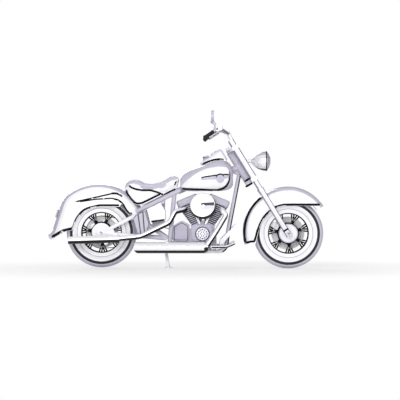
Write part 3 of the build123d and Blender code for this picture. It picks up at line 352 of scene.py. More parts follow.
def grid_mesh(name, grids, around=True, capped=True):
    """One mesh from grids of points: rows run along, columns run across, or around and closed."""
    points, faces, base = [], [], 0
    for grid in grids:
        rows, columns = grid.shape[:2]
        index = np.arange(rows * columns).reshape(rows, columns) + base
        if around:
            index = np.concatenate([index, index[:, :1]], axis=1)
        quads = np.stack([index[:-1, :-1], index[:-1, 1:], index[1:, 1:], index[1:, :-1]], axis=-1)
        faces += quads.reshape(-1, 4).tolist()
        if capped and around:
            faces += [index[0, :-1][::-1].tolist(), index[-1, :-1].tolist()]
        points.append(grid.reshape(-1, 3))
        base += rows * columns
    mesh = bpy.data.meshes.new(name)
    mesh.from_pydata(np.concatenate(points), [], faces)
    mesh.update()
    return mesh


def welded(mesh, outwards=False, dist=1e-6):
    """Joins points that meet and, where asked, turns a closed mesh's faces outwards."""
    work = bmesh.new()
    work.from_mesh(mesh)
    bmesh.ops.remove_doubles(work, verts=work.verts, dist=dist)
    if outwards:
        bmesh.ops.recalc_face_normals(work, faces=work.faces)
    work.to_mesh(mesh)
    work.free()
    return mesh


def solid(name, grids, body="chassis", material=black_rubber, smooth=True, capped=True):
    """A closed piece from grids of points, with faces outwards."""
    mesh = welded(grid_mesh(name, grids, capped=capped), outwards=True)
    return piece(name, mesh, body, material, smooth)


# Flat grids wait this far out on each side, in metres, before they are pushed on to the machine
start_y, highest_jump = 0.30, 0.02


def as_modified(draft):
    """The mesh of a draft object as its modifiers leave it."""
    return bpy.data.meshes.new_from_object(draft.evaluated_get(bpy.context.evaluated_depsgraph_get()))


def points_of(mesh):
    """A mesh's points, one row each."""
    place = np.empty(len(mesh.vertices) * 3)
    mesh.vertices.foreach_get("co", place)
    return place.reshape(-1, 3)


def as_points(*axes):
    """A grid of points from arrays of x, y and z that are spread over one shape."""
    return np.stack(np.broadcast_arrays(*axes), axis=-1)


def run_along(path):
    """How far along a path each of its points is."""
    return np.concatenate([[0], np.cumsum(np.linalg.norm(np.diff(path, axis=0), axis=1))])


def even_path(points, step=0.006, rounds=4):
    """Points in metres at even steps along a path given as (station, height) in mm, its corners
    rounded by averaging each point with its neighbours."""
    path = np.array(points, float) / 1000 - [mid_x, 0]
    run = run_along(path)
    spots = np.linspace(0, run[-1], max(int(run[-1] / step), 4))
    path = np.stack([np.interp(spots, run, path[:, i]) for i in (0, 1)], axis=1)
    for _ in range(rounds):
        path[1:-1] = 0.25 * path[:-2] + 0.5 * path[1:-1] + 0.25 * path[2:]
    return path


def strip_grid(points, width, hand, columns=5):
    """A flat strip beside the machine: rows along a path in the side plane, columns square to it,
    with round ends where the width falls as the root of 1 minus the end's share squared."""
    path = even_path(points)
    along = np.gradient(path, axis=0)
    along /= np.linalg.norm(along, axis=1, keepdims=True)
    square = np.stack([-along[:, 1], along[:, 0]], axis=1)
    run = run_along(path)
    from_end = np.minimum(run, run[-1] - run) / (0.5 * width)
    full = np.sqrt(np.clip(1 - np.clip(1 - from_end, 0, 1) ** 2, 0.03, 1))
    across = np.linspace(-0.5, 0.5, columns) * width
    flat = path[:, None] + square[:, None] * (full[:, None] * across)[..., None]
    return as_points(flat[..., 0], hand * start_y, flat[..., 1])


def laid_on(name, grids, lift, target, body, material, around=False):
    """Thin pieces laid on a surface: flat grids beside the machine are pushed across it on to the
    target. Faces that miss it or jump are dropped, and the rest stands this far off the surface."""
    draft = bpy.data.objects.new(name + "_draft", grid_mesh(name + "_flat", grids, around, capped=False))
    scene.collection.objects.link(draft)
    wrap = draft.modifiers.new("wrap", "SHRINKWRAP")
    wrap.target, wrap.wrap_method, wrap.cull_face = target, "PROJECT", "BACK"
    wrap.use_project_x, wrap.use_project_y, wrap.use_project_z = False, True, False
    wrap.use_negative_direction = wrap.use_positive_direction = True
    pushed = as_modified(draft)
    bpy.data.objects.remove(draft)
    place = points_of(pushed)
    corner = np.empty(len(pushed.loops), int)
    pushed.loops.foreach_get("vertex_index", corner)
    quads = corner.reshape(-1, 4)
    y = place[quads, 1]
    quads = quads[(np.abs(y).max(axis=1) < start_y - 0.001) & (np.ptp(y, axis=1) < highest_jump)]
    first, second = place[quads[:, 2]] - place[quads[:, 0]], place[quads[:, 3]] - place[quads[:, 1]]
    inward = np.cross(first, second)[:, 1] * place[quads, 1].mean(axis=1) < 0
    quads[inward] = quads[inward, ::-1]
    used, quads = np.unique(quads, return_inverse=True)
    mesh = bpy.data.meshes.new(name)
    mesh.from_pydata(place[used], [], quads.reshape(-1, 4).tolist())
    bpy.data.meshes.remove(pushed)
    made = piece(name, welded(mesh), body, material)
    wall = made.modifiers.new("wall", "SOLIDIFY")
    wall.thickness, wall.offset = lift, 1.0
    return made


def edging(name, lines, node, body="chassis", lift=0.0018, material=black_rubber):
    """Black beads laid on both sides of a CAD node. Each line is its points in mm and its width."""
    grids = [strip_grid(points, width, hand) for points, width in lines for hand in (-1, 1)]
    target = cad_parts[node] if isinstance(node, str) else node
    return laid_on(name, grids, lift, target, body, material)


def arc_points(x, z, r, start, end, count=24):
    """Points in mm on an arc in the side plane."""
    a = np.radians(np.linspace(start, end, count))
    return list(zip(x + r * np.cos(a), z + r * np.sin(a)))


# Painted shadow lines: black beads laid along the fenders' open edges and the struts, where shade falls.
edging("front_fender_edging", [
    ([(1500, 530), (1548, 548), (1600, 560), (1680, 561), (1916, 560)], 0.019),
    ([(1482, 510), (1449, 483), (1421, 450), (1397, 408), (1378, 364), (1366, 330), (1353, 280), (1340, 236),
      (1316, 239), (1268, 226)], 0.018),
    (arc_points(1640, 318, 387, 128, 194), 0.019),
], "front_fender", "steering")
edging("rear_fender_edging", [
    ([(-434, 275), (-384, 305), (-338, 333), (-300, 342), (-260, 350)] + arc_points(0, 316, 247, 169, 128)
     + [(-120, 528), (-20, 552), (158, 552)], 0.024),
], "rear_fender")
edging("strut_edging", [
    ([(-236, 585), (93, 659), (134, 659), (172, 642), (185, 630)], 0.018),
    ([(-186, 584), (-54, 605), (93, 615), (148, 602), (186, 573), (228, 501), (247, 481), (272, 486)], 0.016),
], "fender_struts")

# Frame: welded steel tube in satin lilac, with the lower rails and the tubes beside the rear wheel in
# white, as the centre stand is. The front down tubes carry painted shade, a black line down their front,
# where they face down and ahead.


def lined_frame():
    """Lilac, white near the ground, and black painted shade on the front of the tubes ahead of the engine, where
    they face down and ahead.
    """
    made = Finish("lined_frame", lilac, 0.42, grain=700.0, bump=0.12)
    # Painted shade: black where the tubes ahead of the engine face down and ahead.
    front = made.both(made.past(made.underside(), 0.24, 0.03), made.past(made.axes[0], station(1060)))
    made.layer(made.band(made.axes[2], -1.0, 0.205, 0.004), white)
    return made.layer(front, ink).done()


paint(lined_frame(), "frame_cradle")
paint(lilac_satin, "frame_backbone", "battery_box", "side_stand")
paint(white_gloss, "centre_stand")
rear_rails = Finish("rear_rails", lilac, 0.4, bump=0.1)
beside_wheel = rear_rails.band(rear_rails.axes[0], -far_off, station(330), 0.004)
paint(rear_rails.layer(beside_wheel, white).done(), "rear_triangle")

# Wheels: white painted rims, laced to a white hub by bundles of dark crossed steel spokes. The rubber
# tyres have a white wall, a broad black ring at its edge that is painted shadow, and a lilac tread with
# cross grooves, darkened inside as painted shade.
axles = {"front": (station(1640), 0.308), "rear": (station(0), 0.316)}


def tyre_finish(name, axle):
    """White, with rings by the distance from the axle, the black one a painted shadow, and tread blocks where two
    sines add up, with painted shade in the grooves.
    """
    made = Finish(name, white, 0.62, grain=500.0, bump=0.10)
    radius, turn = made.about(axle)
    shadow_ring_r, tread_r, bead_r = 0.253, 0.276, 0.2155
    made.layer(made.past(radius, tread_r, 0.0015), lilac)
    # Painted shadow: a broad black ring at the edge of the white wall.
    made.layer(made.band(radius, shadow_ring_r, tread_r + 0.001), ink)
    made.layer(made.band(radius, 0.19, bead_r), lilac_deep)
    blocks = made.maths("SINE", made.maths("MULTIPLY", turn, 96.0))
    slant = made.maths("SINE", made.maths("MULTIPLY", made.axes[1], 210.0))
    pattern = made.maths("GREATER_THAN", made.maths("ADD", blocks, slant), -0.9)
    tread = made.both(pattern, made.past(radius, 0.283))
    # Painted shade: the grooves darkened towards lilac_deep.
    grooves = made.both(made.other(pattern), made.past(radius, 0.290, 0.002))
    made.layer(made.maths("MULTIPLY", grooves, 0.55), lilac_deep)
    return made.raise_by(tread, 0.6).done()


def wheel_finish(name, axle):
    """White, with black spokes between hub and rim, and thin rings on the faces of the hub, the black one a
    painted shadow round the hub.
    """
    made = Finish(name, white, 0.3, coat=0.4)
    radius, _ = made.about(axle)
    middle = made.band(made.axes[1], -0.0465, 0.0465, 0.0005)
    made.layer(made.both(middle, made.band(radius, 0.0855, 0.1790)), spoke_black)
    made.layer(made.both(middle, made.band(radius, 0.0740, 0.0860)), lilac)
    made.layer(made.band(radius, 0.0, 0.028), lilac)
    outside = made.other(middle)
    # Painted shadow: a black ring round each face of the hub.
    made.layer(made.both(outside, made.band(radius, 0.084, 0.095)), ink)
    made.layer(made.both(outside, made.band(radius, 0.027, 0.031)), lilac_deep)
    return made.done()


for end, axle in axles.items():
    paint(tyre_finish(f"{end}_tyre_rubber", axle), f"{end}_tyre")
    paint(wheel_finish(f"{end}_wheel_metal", axle), f"{end}_wheel")
steel = Finish("turned_steel", srgb(186, 182, 198), 0.3, metallic=0.6, grain=900.0, bump=0.06).done()
paint(steel, "front_axle", "rear_axle")


def full_turn(count):
    """Even angles round a circle."""
    return np.linspace(0, 2 * pi, count, endpoint=False)


def turned(profile, centre, axis=(0, 1, 0), count=48):
    """A surface of revolution: (radius, along) pairs in metres turned about an axis through a centre."""
    axis = np.array(axis, float) / np.linalg.norm(axis)
    first = np.cross(axis, [0.0, 1.0, 0.0] if abs(axis[1]) < 0.9 else [1.0, 0.0, 0.0])
    first /= np.linalg.norm(first)
    second = np.cross(axis, first)
    turn = full_turn(count)
    radius, along = np.array(profile, float).T
    ring = np.cos(turn)[:, None] * first + np.sin(turn)[:, None] * second
    return np.array(centre) + along[:, None, None] * axis + radius[:, None, None] * ring[None]


def closed_profile(profile):
    """Repeats a ring profile's first pair, so that the turned surface closes on itself."""
    return list(profile) + [profile[0]]


# Spoke sleeves and rim tapes: a black rubber sleeve pushed on each end of every spoke, and black
# rubber tapes stuck round the rim's inner face and on both sides of the hub, where the spokes start.
# The tapes are dark rings put where shade falls, so painted shadow.

# Each row is one spoke of a bundle: its turn at the hub and at the rim in degrees, and its side
crossed_spokes = np.array([(-11, 5, 1), (-4, 12, 1), (11, -5, -1), (4, -12, -1)], float)


def spoke_sleeves(name, axle, body):
    """A six-sided bar over the first and last part of each spoke, between two points of its line."""
    hub_r, hub_y, rim_r, rim_y, sleeve_r = 0.078, 0.041, 0.183, 0.012, 0.0066
    bundle = np.radians(-86 + np.arange(7) * 360 / 7)[:, None]
    at_hub, at_rim, hand = crossed_spokes.T
    foot, tip = (as_points(axle[0] + r * np.cos(a), hand * y, axle[1] + r * np.sin(a)).reshape(-1, 3)
                 for r, y, a in ((hub_r, hub_y, bundle + np.radians(at_hub)),
                                 (rim_r, rim_y, bundle + np.radians(at_rim))))
    run = tip - foot
    run /= np.linalg.norm(run, axis=1, keepdims=True)
    side_dir = np.cross(run, [0, 1, 0])
    side_dir /= np.linalg.norm(side_dir, axis=1, keepdims=True)
    third = np.cross(run, side_dir)
    turn = full_turn(6)
    circle = np.cos(turn)[None, :, None] * side_dir[:, None] + np.sin(turn)[None, :, None] * third[:, None]
    circle *= sleeve_r
    spans = [(foot + run * 0.010, foot + run * 0.042), (tip - run * 0.046, tip - run * 0.004)]
    bars = [np.stack([near[:, None] + circle, far[:, None] + circle], axis=1) for near, far in spans]
    return solid(name, np.concatenate(bars), body, smooth=False)


def rim_shade_rings(name, axle, body):
    """Three dark rings about the axle, painted shadow inside the rim and round the hub, each a four-sided section
    turned about it.
    """
    rim_tape = closed_profile([(0.1804, -0.030), (0.1804, 0.030), (0.1700, 0.026), (0.1700, -0.026)])
    hub_tape = closed_profile([(0.0930, -0.0445), (0.0930, -0.0385), (0.0842, -0.0385), (0.0842, -0.0445)])
    centre = (axle[0], 0, axle[1])
    grids = [turned(rim_tape, centre, count=96), turned(hub_tape, centre, count=72),
             turned([(r, -y) for r, y in hub_tape], centre, count=72)]
    return solid(name, grids, body, capped=False)


for end, axle in axles.items():
    spoke_sleeves(f"{end}_spoke_sleeves", axle, f"{end}_wheel")
    rim_shade_rings(f"{end}_rim_shade_rings", axle, f"{end}_wheel")

# Bright metal: chromed tube and polished alloy, white to the eye, with painted shade in lilac at the edges
# above and behind, and a painted black line along the underside: painted shade, and the ground that a
# polished tube mirrors painted in as reflection.


def bright(name, line_from=far_off, edge_shade_at=far_off, colour=alloy_white, roughness=0.14):
    """White metal; painted shade in black where it faces down and ahead by line_from, and in lilac past
    edge_shade_at off the side.
    """
    made = Finish(name, colour, roughness, metallic=0.4, grain=300.0, uneven=0.02)
    off_side = made.maths("SUBTRACT", 1.0, made.maths("ABSOLUTE", made.lean[1]))
    # Painted shade: lilac where the surface turns away from the side, black where it faces down and ahead.
    made.layer(made.past(off_side, edge_shade_at, 0.06), lilac_deep)
    return made.layer(made.past(made.underside(), line_from, 0.03), ink).done()


paint(bright("silencer_chrome", line_from=0.30, colour=white), "exhaust_front")
paint(bright("slim_silencer_chrome", line_from=0.12, colour=white), "exhaust_rear")
paint(bright("handlebar_chrome", edge_shade_at=0.30, line_from=0.85, colour=white), "handlebar")
paint(lilac_satin, "mirrors")
paint(bright("fork_white", edge_shade_at=0.24, colour=white), "fork_tubes", "fork_sliders")
paint(bright("pushrod_chrome", edge_shade_at=0.24, colour=white), "pushrod_tubes")
paint(bright("control_alloy", line_from=0.55, edge_shade_at=0.45), "hand_controls", "foot_levers", "footboards")
paint(bright("clamp_alloy", line_from=0.62), "fork_clamps")
paint(bright("caliper_alloy", edge_shade_at=0.5), "brake_caliper")
polished = bright("polished_alloy", colour=srgb(232, 231, 238), roughness=0.22)

# Engine: two cylinders of cast alloy fins, with painted shade, near black, in the gaps between them, on
# castings painted lilac. A bright alloy cover with drilled holes, painted black inside as shade, is bolted
# over the cams, and a round white cleaner cover, with painted shadow in black, over the intake.
crank = (station(891), 0.270)
bank_lean = radians(23)
fin_start, fin_pitch, fin_t = 0.150, 0.0172, 0.006


def fin_finish(name, lean_hand):
    """Cast alloy, with painted shade, near black, where the place along the bank falls between two fins."""
    made = Finish(name, srgb(200, 197, 211), 0.42, metallic=0.2, grain=900.0, bump=0.15)
    a = bank_lean * lean_hand
    along = made.slope(made.axes, sin(a), cos(a), crank[0] * sin(a) + crank[1] * cos(a))
    step = made.maths("FLOORED_MODULO", made.maths("SUBTRACT", along, fin_start), fin_pitch)
    # Painted shade: near black between the fins.
    gap = made.band(step, fin_t + 0.0005, fin_pitch - 0.0005, 0.0006)
    return made.layer(made.both(gap, made.band(along, fin_start - 0.02, 0.328)), srgb(18, 17, 23)).done()


cast = Finish("cast_alloy", srgb(190, 186, 203), 0.5, metallic=0.15, grain=1100.0, bump=0.35, uneven=0.10).done()
paint(fin_finish("rear_fins", -1), "cylinder_rear")
paint(fin_finish("front_fins", 1), "cylinder_front")
paint(cast, "crankcase", "gearbox", "intake", "rocker_cover_rear", "rocker_cover_front")
paint(polished, "primary_cover")
paint(black_rubber, "drive_belt")


def cam_finish():
    """Bright alloy, with painted shade in black down in the drilled holes, and lilac round the rim."""
    made = Finish("cam_cover_alloy", srgb(226, 224, 233), 0.22, metallic=0.3)
    radius, _ = made.about((station(886), 0.304))
    # Painted shade: black down in the drilled holes.
    holes = made.both(made.band(made.axes[1], -0.1320, -0.05, 0.0004), made.band(radius, 0.0, 0.050))
    made.layer(holes, ink)
    return made.layer(made.past(radius, 0.0525), lilac_deep).done()


def cleaner_finish():
    """White, with a painted shadow crescent in black past an off-centre circle, and a slot that is black above as
    painted shadow, lilac below.
    """
    made = Finish("cleaner_cover", white, 0.18, metallic=0.2)
    radius, _ = made.about((station(890), 0.549))
    crescent, _ = made.about((station(884), 0.5640))
    # Painted shadow: a black crescent at the lower front of the cover.
    made.layer(made.past(crescent, 0.1085), ink)
    made.layer(made.band(made.axes[1], -0.10515, 0.0, 0.0002), lilac)
    in_slot = made.both(made.band(made.axes[1], -0.1625, -0.1520, 0.0004), made.band(radius, 0.0, 0.1000),
                        made.band(made.lean[1], -1.1, -0.7, 0.02))
    made.layer(in_slot, lilac)
    # Painted shadow: black in the top of the slot.
    return made.layer(made.both(in_slot, made.past(made.axes[2], 0.554)), ink).done()


paint(cam_finish(), "cam_cover")
paint(cleaner_finish(), "air_cleaner")

# Fin roots: the cast barrels of the two cylinders, painted near black as shade, which show between the
# fins. They are plain blocks inside the fins, 5 mm short of their front and back edges and 14 mm short of
# their sides.
fin_shade_black = Finish("dark_fin_roots", srgb(26, 25, 31), 0.6, bump=0.1).done()


def fin_roots(name, lean_hand):
    """A block along a bank with a squared circle of power 8 as its section: its half length is 51 mm, and
    0.245 mm more for each mm along past the first fin, and its half width is 52 mm."""
    a = bank_lean * lean_hand
    along = np.linspace(0.152, 0.320, 8)[:, None]
    turn = full_turn(48)[None, :]
    blunt = (np.abs(np.cos(turn)) ** 8 + np.abs(np.sin(turn)) ** 8) ** -0.125
    across = (0.051 + 0.245 * (along - fin_start)) * np.cos(turn) * blunt
    beside = 0.052 * np.sin(turn) * blunt
    grid = as_points(crank[0] + along * sin(a) + across * cos(a), beside,
                     crank[1] + along * cos(a) - across * sin(a))
    return solid(name, [grid], "chassis", fin_shade_black)


fin_roots("rear_fin_roots", -1)
fin_roots("front_fin_roots", 1)

# Bolts: hex heads of plated steel, screwed down round the cam chest on the right and round both ends
# of the primary case on the left


def hex_bolts(name, spots, r=0.0055, h=0.0045):
    """Hex heads with a domed top: six-sided rings at (radius, out) steps, at each (x, y, z, hand)."""
    steps = np.array([(1.0, -0.3), (1.0, 0.75), (0.86, 1.0), (0.3, 1.06)])
    turn = full_turn(6) + 0.2
    spots = np.array(spots, float)[:, :, None, None]
    ring = steps[:, :1] * r
    out = spots[:, 1] + spots[:, 3] * steps[:, 1:] * h
    grids = as_points(spots[:, 0] + ring * np.cos(turn), out, spots[:, 2] + ring * np.sin(turn))
    return solid(name, grids, "chassis", steel, smooth=False)


def circle_spots(x, z, r, y, hand, count, start=0):
    """Evenly round a circle: station and height in mm, radius and y in metres."""
    a = np.radians(start + np.arange(count) * 360 / count)
    return as_points(station(x) + r * np.cos(a), y, z / 1000 + r * np.sin(a), hand)


hex_bolts("cam_chest_bolts", circle_spots(883, 312, 0.078, -0.1181, -1, 4, 42))
hex_bolts("primary_bolts", np.concatenate([circle_spots(891, 270, 0.066, 0.1519, 1, 6, 30),
                                           circle_spots(722, 264, 0.056, 0.1519, 1, 6, 0)]))

# Clutch lid: a domed round lid of polished alloy with a rolled rim, over the opening at the rear of
# the primary case, held by five small screws
clutch_lid = [(0.0002, 0.0105), (0.020, 0.0100), (0.034, 0.0080), (0.041, 0.0046), (0.043, 0.0050),
              (0.046, 0.0040), (0.047, 0.0), (0.047, -0.003)]
solid("clutch_lid", [turned(clutch_lid, (station(722), 0.1522, 0.264), count=64)], "chassis",
      polished)
hex_bolts("clutch_lid_screws", circle_spots(722, 264, 0.036, 0.1590, 1, 5, 18), r=0.0035, h=0.003)

# Joint lines: thin dark beads of joint sealer, squeezed out where the cam chest and the gearbox
# cover meet their castings
sealer = Finish("joint_sealer", shade_and_sealer_grey, 0.55, bump=0.05).done()
edging("cam_chest_joint", [(arc_points(886, 304, 62, 0, 359, 60), 0.0055)], "crankcase", lift=0.0012,
       material=sealer)
edging("gearbox_joint", [([(640, 240), (757, 240), (757, 372), (702, 402), (640, 364), (640, 242)], 0.0055)],
       "gearbox", lift=0.0012, material=sealer)

# Side boxes: white pressed covers with a black rubber strip stuck along their foot as a painted shadow
# line, and lilac louvre boxes bolted behind them, with painted shade in the gaps between three slats and
# a bead of sealer round them
louvre_paint = Finish("louvre_box", lilac, 0.42, grain=700.0, bump=0.12)
# Painted shade: grey in the gaps between the slats.
slat_gap_shade = louvre_paint.band(louvre_paint.maths("ABSOLUTE", louvre_paint.axes[1]), 0.153, 0.1665, 0.0004)
paint(louvre_paint.layer(slat_gap_shade, shade_and_sealer_grey).done(), "louvre_boxes")
edging("side_cover_shadow_line", [([(437, 413), (470, 417), (556, 428)], 0.016)], "side_covers")
edging("louvre_outline", [([(283, 436), (305, 468), (386, 508), (418, 391), (398, 324), (319, 303), (283, 432)],
                           0.005)], "louvre_boxes", lift=0.0010, material=sealer)

# Tank: a pressed shell, lilac at its rim, two-tone paint that stands in for the shade where the shell
# turns away, with a raised white panel on each side. The panel stands on a black one that shows as a line
# below and ahead of it, a painted drop shadow. A plain round badge and bar lie on it, each on a black
# painted shadow that shows above it.
paint(Finish("tank_rim_paint_and_shade", lilac, 0.24, coat=0.6).done(), "fuel_tank")
panel_corners = [(695, 714), (705, 731), (748, 773), (806, 817), (866, 855), (925, 879), (1013, 893), (1080, 893),
                 (1112, 878), (1121, 850), (1118, 800), (1108, 760), (1080, 722), (1030, 701), (1000, 697),
                 (850, 704), (720, 708)]


def smooth_loop(corners, rounds=3):
    """A closed outline with its corners cut again and again: each side gives two points, at a quarter
    and three quarters of its length."""
    loop = np.array(corners, float) / 1000 - [mid_x, 0]
    for _ in range(rounds):
        after = np.roll(loop, -1, axis=0)
        loop = np.stack([0.75 * loop + 0.25 * after, 0.25 * loop + 0.75 * after], axis=1).reshape(-1, 2)
    return loop


def panel_grid(loop, hand, rings=18):
    """A flat panel beside the machine: rings that shrink evenly from the outline to its middle."""
    middle = loop.mean(axis=0)
    flat = middle + np.linspace(1, 0, rings)[:, None, None] * (loop - middle)
    return as_points(flat[..., 0], hand * start_y, flat[..., 1])


def both_panels(name, loop, lift, material):
    """A panel on each side of the tank."""
    grids = [panel_grid(loop, hand) for hand in (-1, 1)]
    return laid_on(name, grids, lift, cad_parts["fuel_tank"], "chassis", material, around=True)


panel_loop = smooth_loop(panel_corners)
# Painted shadow: a black copy of the panel, shifted down and ahead, under the white one.
both_panels("tank_line", panel_loop + [0.009, -0.018], 0.0016, black_rubber)
both_panels("tank_panel", panel_loop, 0.0036, white_gloss)
badge_bar = smooth_loop([(877, 772), (874, 790), (900, 797), (1004, 812), (1112, 822), (1116, 806), (1112, 790),
                         (1004, 783), (900, 775)], 2)
badge_disc = np.array(arc_points(1039, 787, 34, 0, 352.5, 48)) / 1000 - [mid_x, 0]
# Painted shadows: black copies of the bar and the disc, shifted up, under each.
both_panels("badge_bar_shade", badge_bar + [0.0, 0.0115], 0.0048, black_rubber)
both_panels("badge_bar", badge_bar, 0.0060, lilac_satin)
both_panels("badge_shade", badge_disc + [-0.001, 0.0125], 0.0068, black_rubber)
both_panels("badge_disc", badge_disc, 0.0085, lilac_satin)

# Console: a cast housing screwed on the tank, painted white with lilac edges and top as painted shade,
# with a black rubber strip along its foot as a painted shadow line


def console_finish():
    """White, with painted shade in lilac past two straight lines along its edges and along its middle."""
    made = Finish("console_paint", white, 0.22, coat=0.6)
    made.layer(made.past(made.beside((866, 925), (1025, 1042)), -0.024), lilac)
    made.layer(made.past(made.beside((1050, 1046), (1103, 960)), -0.018), lilac)
    across = made.maths("ABSOLUTE", made.axes[1])
    return made.layer(made.band(across, -1.0, 0.0370), lilac).done()


paint(console_finish(), "dash_console")
edging("console_shadow_line", [([(884, 909), (925, 930), (980, 950), (1030, 957), (1075, 952)], 0.023)],
       "dash_console")

# Filler cap: a domed chromed lid, screwed in to the tank's neck by a black rubber ring with a
# knurled rim
cap_top = [(0.0002, 0.0048), (0.016, 0.0045), (0.0195, 0.0030), (0.0205, 0.0), (0.0205, -0.001)]
solid("filler_cap_lid", [turned(cap_top, (station(919), 0, 0.9870), (0, 0, 1))], "chassis", polished)


def knurled_ring(centre, r, low, high, teeth, depth):
    """A toothed ring: its radius swings by the depth, as the sine of the turn times the teeth, made
    steeper by a hyperbolic tangent."""
    turn = full_turn(teeth * 6)
    outer = r + depth * np.tanh(3 * np.sin(turn * teeth))
    inner = np.full_like(turn, r - 0.003)
    radii = np.stack([inner, outer, outer, inner, inner])
    z = np.array([low, low, high, high, low])[:, None]
    return as_points(centre[0] + radii * np.cos(turn), centre[1] + radii * np.sin(turn), z)


solid("filler_cap_grip", [knurled_ring((station(919), 0), 0.0292, 0.966, 0.980, 24, 0.0009)], capped=False)

# Dial: a chromed bezel pressed round a white enamelled face, with plain black marks and a needle
# riveted on it, in the console's sloping top
dial_at = np.array([station(984), 0, 1.0121])
dial_out = np.array([-0.5928, 0, 0.8053])
bezel = closed_profile([(0.0255, 0.004), (0.0275, 0.0095), (0.0320, 0.0085), (0.0335, 0.0), (0.0335, -0.004),
                        (0.0255, -0.004)])
solid("dial_bezel", [turned(bezel, dial_at, dial_out, 64)], "chassis", polished, capped=False)
face = [(0.0002, 0.0036), (0.0260, 0.0036), (0.0260, -0.002), (0.0002, -0.002)]
solid("dial_face", [turned(face, dial_at, dial_out, 48)], "chassis", white_gloss)


def dial_marks():
    """Eleven flat bars on a ring and a longer needle, each a four-sided prism from its own axes."""
    across = np.array([0.0, 1.0, 0.0])
    up = np.cross(across, dial_out)
    turn = np.radians(np.concatenate([np.linspace(-130, 130, 11), [-40]]))
    out = np.sin(turn)[:, None] * across + np.cos(turn)[:, None] * up
    square = np.cross(dial_out, out)
    inner, outer, half = np.array([(0.0190, 0.0240, 0.0005)] * 11 + [(-0.004, 0.0200, 0.0008)]).T
    corners = np.array([(-1, 0.0034), (1, 0.0034), (1, 0.0042), (-1, 0.0042)])
    ring = corners[:, 0, None, None] * (half[:, None] * square) + corners[:, 1, None, None] * dial_out
    ring = np.moveaxis(ring, 0, 1)
    return np.stack([(dial_at + out * reach[:, None])[:, None] + ring for reach in (inner, outer)], axis=1)


solid("dial_marks", dial_marks(), smooth=False)

# Seat: one white vinyl cushion over moulded foam, piped in black between the rider's hollow and the
# side skirt and along its foot, the piping laid as painted shadow lines, with a lilac binding sewn along
# its crown as painted shade, and painted lilac shade where the vinyl faces up. It is blown up from CAD.


def seat_vinyl():
    """White vinyl, with painted shade in lilac where it faces up."""
    made = Finish("seat_vinyl", white, 0.46, grain=420.0, bump=0.25)
    return made.layer(made.past(made.lean[2], 0.30, 0.12), lilac).done()


def blown_cushion(name, node, voxel=0.006, shrink=0.004, high_cap=0.009, low_cap=0.0035):
    """A cushion from a plain solid: remeshed, rounded, drawn in a little, then blown up by cloth
    pressure, with each point's travel capped, less where it faces the frame below."""
    start = welded(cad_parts[node].data.copy(), dist=1e-5)
    draft = bpy.data.objects.new(name + "_draft", start)
    scene.collection.objects.link(draft)
    remesh = draft.modifiers.new("remesh", "REMESH")
    remesh.mode, remesh.voxel_size = "VOXEL", voxel
    rounding = draft.modifiers.new("rounding", "SMOOTH")
    rounding.factor, rounding.iterations = 0.5, 14
    foam = as_modified(draft)
    bpy.data.objects.remove(draft)
    facing = np.empty(len(foam.vertices) * 3)
    foam.vertex_normals.foreach_get("vector", facing)
    facing = facing.reshape(-1, 3)
    place = points_of(foam) - shrink * facing
    foam.vertices.foreach_set("co", place.ravel())
    blown = bpy.data.objects.new(name + "_blown", foam)
    scene.collection.objects.link(blown)
    cloth = blown.modifiers.new("cloth", "CLOTH")
    cloth.settings.use_pressure = True
    cloth.settings.uniform_pressure_force = 4
    cloth.settings.effector_weights.gravity = 0
    cloth.settings.quality = 5
    for step in range(1, 21):
        scene.frame_set(step)
    travel = points_of(as_modified(blown)) - place
    scene.frame_set(1)
    bpy.data.objects.remove(blown)
    reach = np.linalg.norm(travel, axis=1, keepdims=True)
    cap = np.where(facing[:, 2:] < -0.25, low_cap, high_cap)
    place = place + travel * np.minimum(1, cap / np.maximum(reach, 1e-9))
    foam.name = name
    foam.vertices.foreach_set("co", place.ravel())
    foam.update()
    return foam


cushion = piece("seat_cushion", blown_cushion("seat_cushion", "seat"), "chassis", seat_vinyl())
finer = cushion.modifiers.new("finer", "SUBSURF")
finer.levels = finer.render_levels = 1
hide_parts("seat")
edging("seat_piping", [
    ([(243, 730), (258, 714), (301, 696), (359, 686), (430, 686), (488, 671), (553, 642)], 0.016),
    ([(222, 690), (226, 662), (262, 612), (297, 577), (322, 570), (358, 576), (516, 653)], 0.016),
    ([(548, 648), (600, 674), (650, 698)], 0.014),
    ([(640, 728), (648, 750), (657, 768)], 0.010),
], cushion, lift=0.0030)
edging("seat_binding", [
    ([(213, 712), (218, 732), (246, 755), (290, 762), (335, 748), (378, 727), (445, 723), (533, 740), (603, 782),
      (650, 798), (668, 794)], 0.030),
], cushion, lift=0.0014, material=Finish("lilac_vinyl", lilac, 0.5, bump=0.2).done())

# Headlamp: a white pressed bullet shell, with painted shade in lilac on its top and in black on its
# underside, and a domed glass lens with flutes, held in it by a black rim ring. A small glass bulb sits
# in the bowl behind the lens.
lamp = np.array([station(1454), 0, 0.942])


def shell_finish():
    """White, with painted shade in lilac where it faces up and in black where it faces down, and black round the
    rim ring.
    """
    made = Finish("headlamp_shell", white, 0.16, metallic=0.3)
    ahead = made.axes[0]
    made.layer(made.past(made.lean[2], 0.62, 0.08), lilac)
    made.layer(made.band(made.lean[2], -far_off, -0.80, 0.05), ink)
    made.layer(made.band(ahead, station(1442.4), station(1453), 0.0006), ink)
    return made.done()


def lens_finish():
    """Part clear glass with upright flutes in its bump."""
    made = Finish("headlamp_glass", srgb(214, 211, 224), 0.06, bump=0.0)
    made.shader.inputs["Transmission Weight"].default_value = 0.55
    made.shader.inputs["IOR"].default_value = 1.45
    flutes = made.maths("SINE", made.maths("MULTIPLY", made.axes[1], 1100.0))
    return made.raise_by(flutes, 0.5).done()


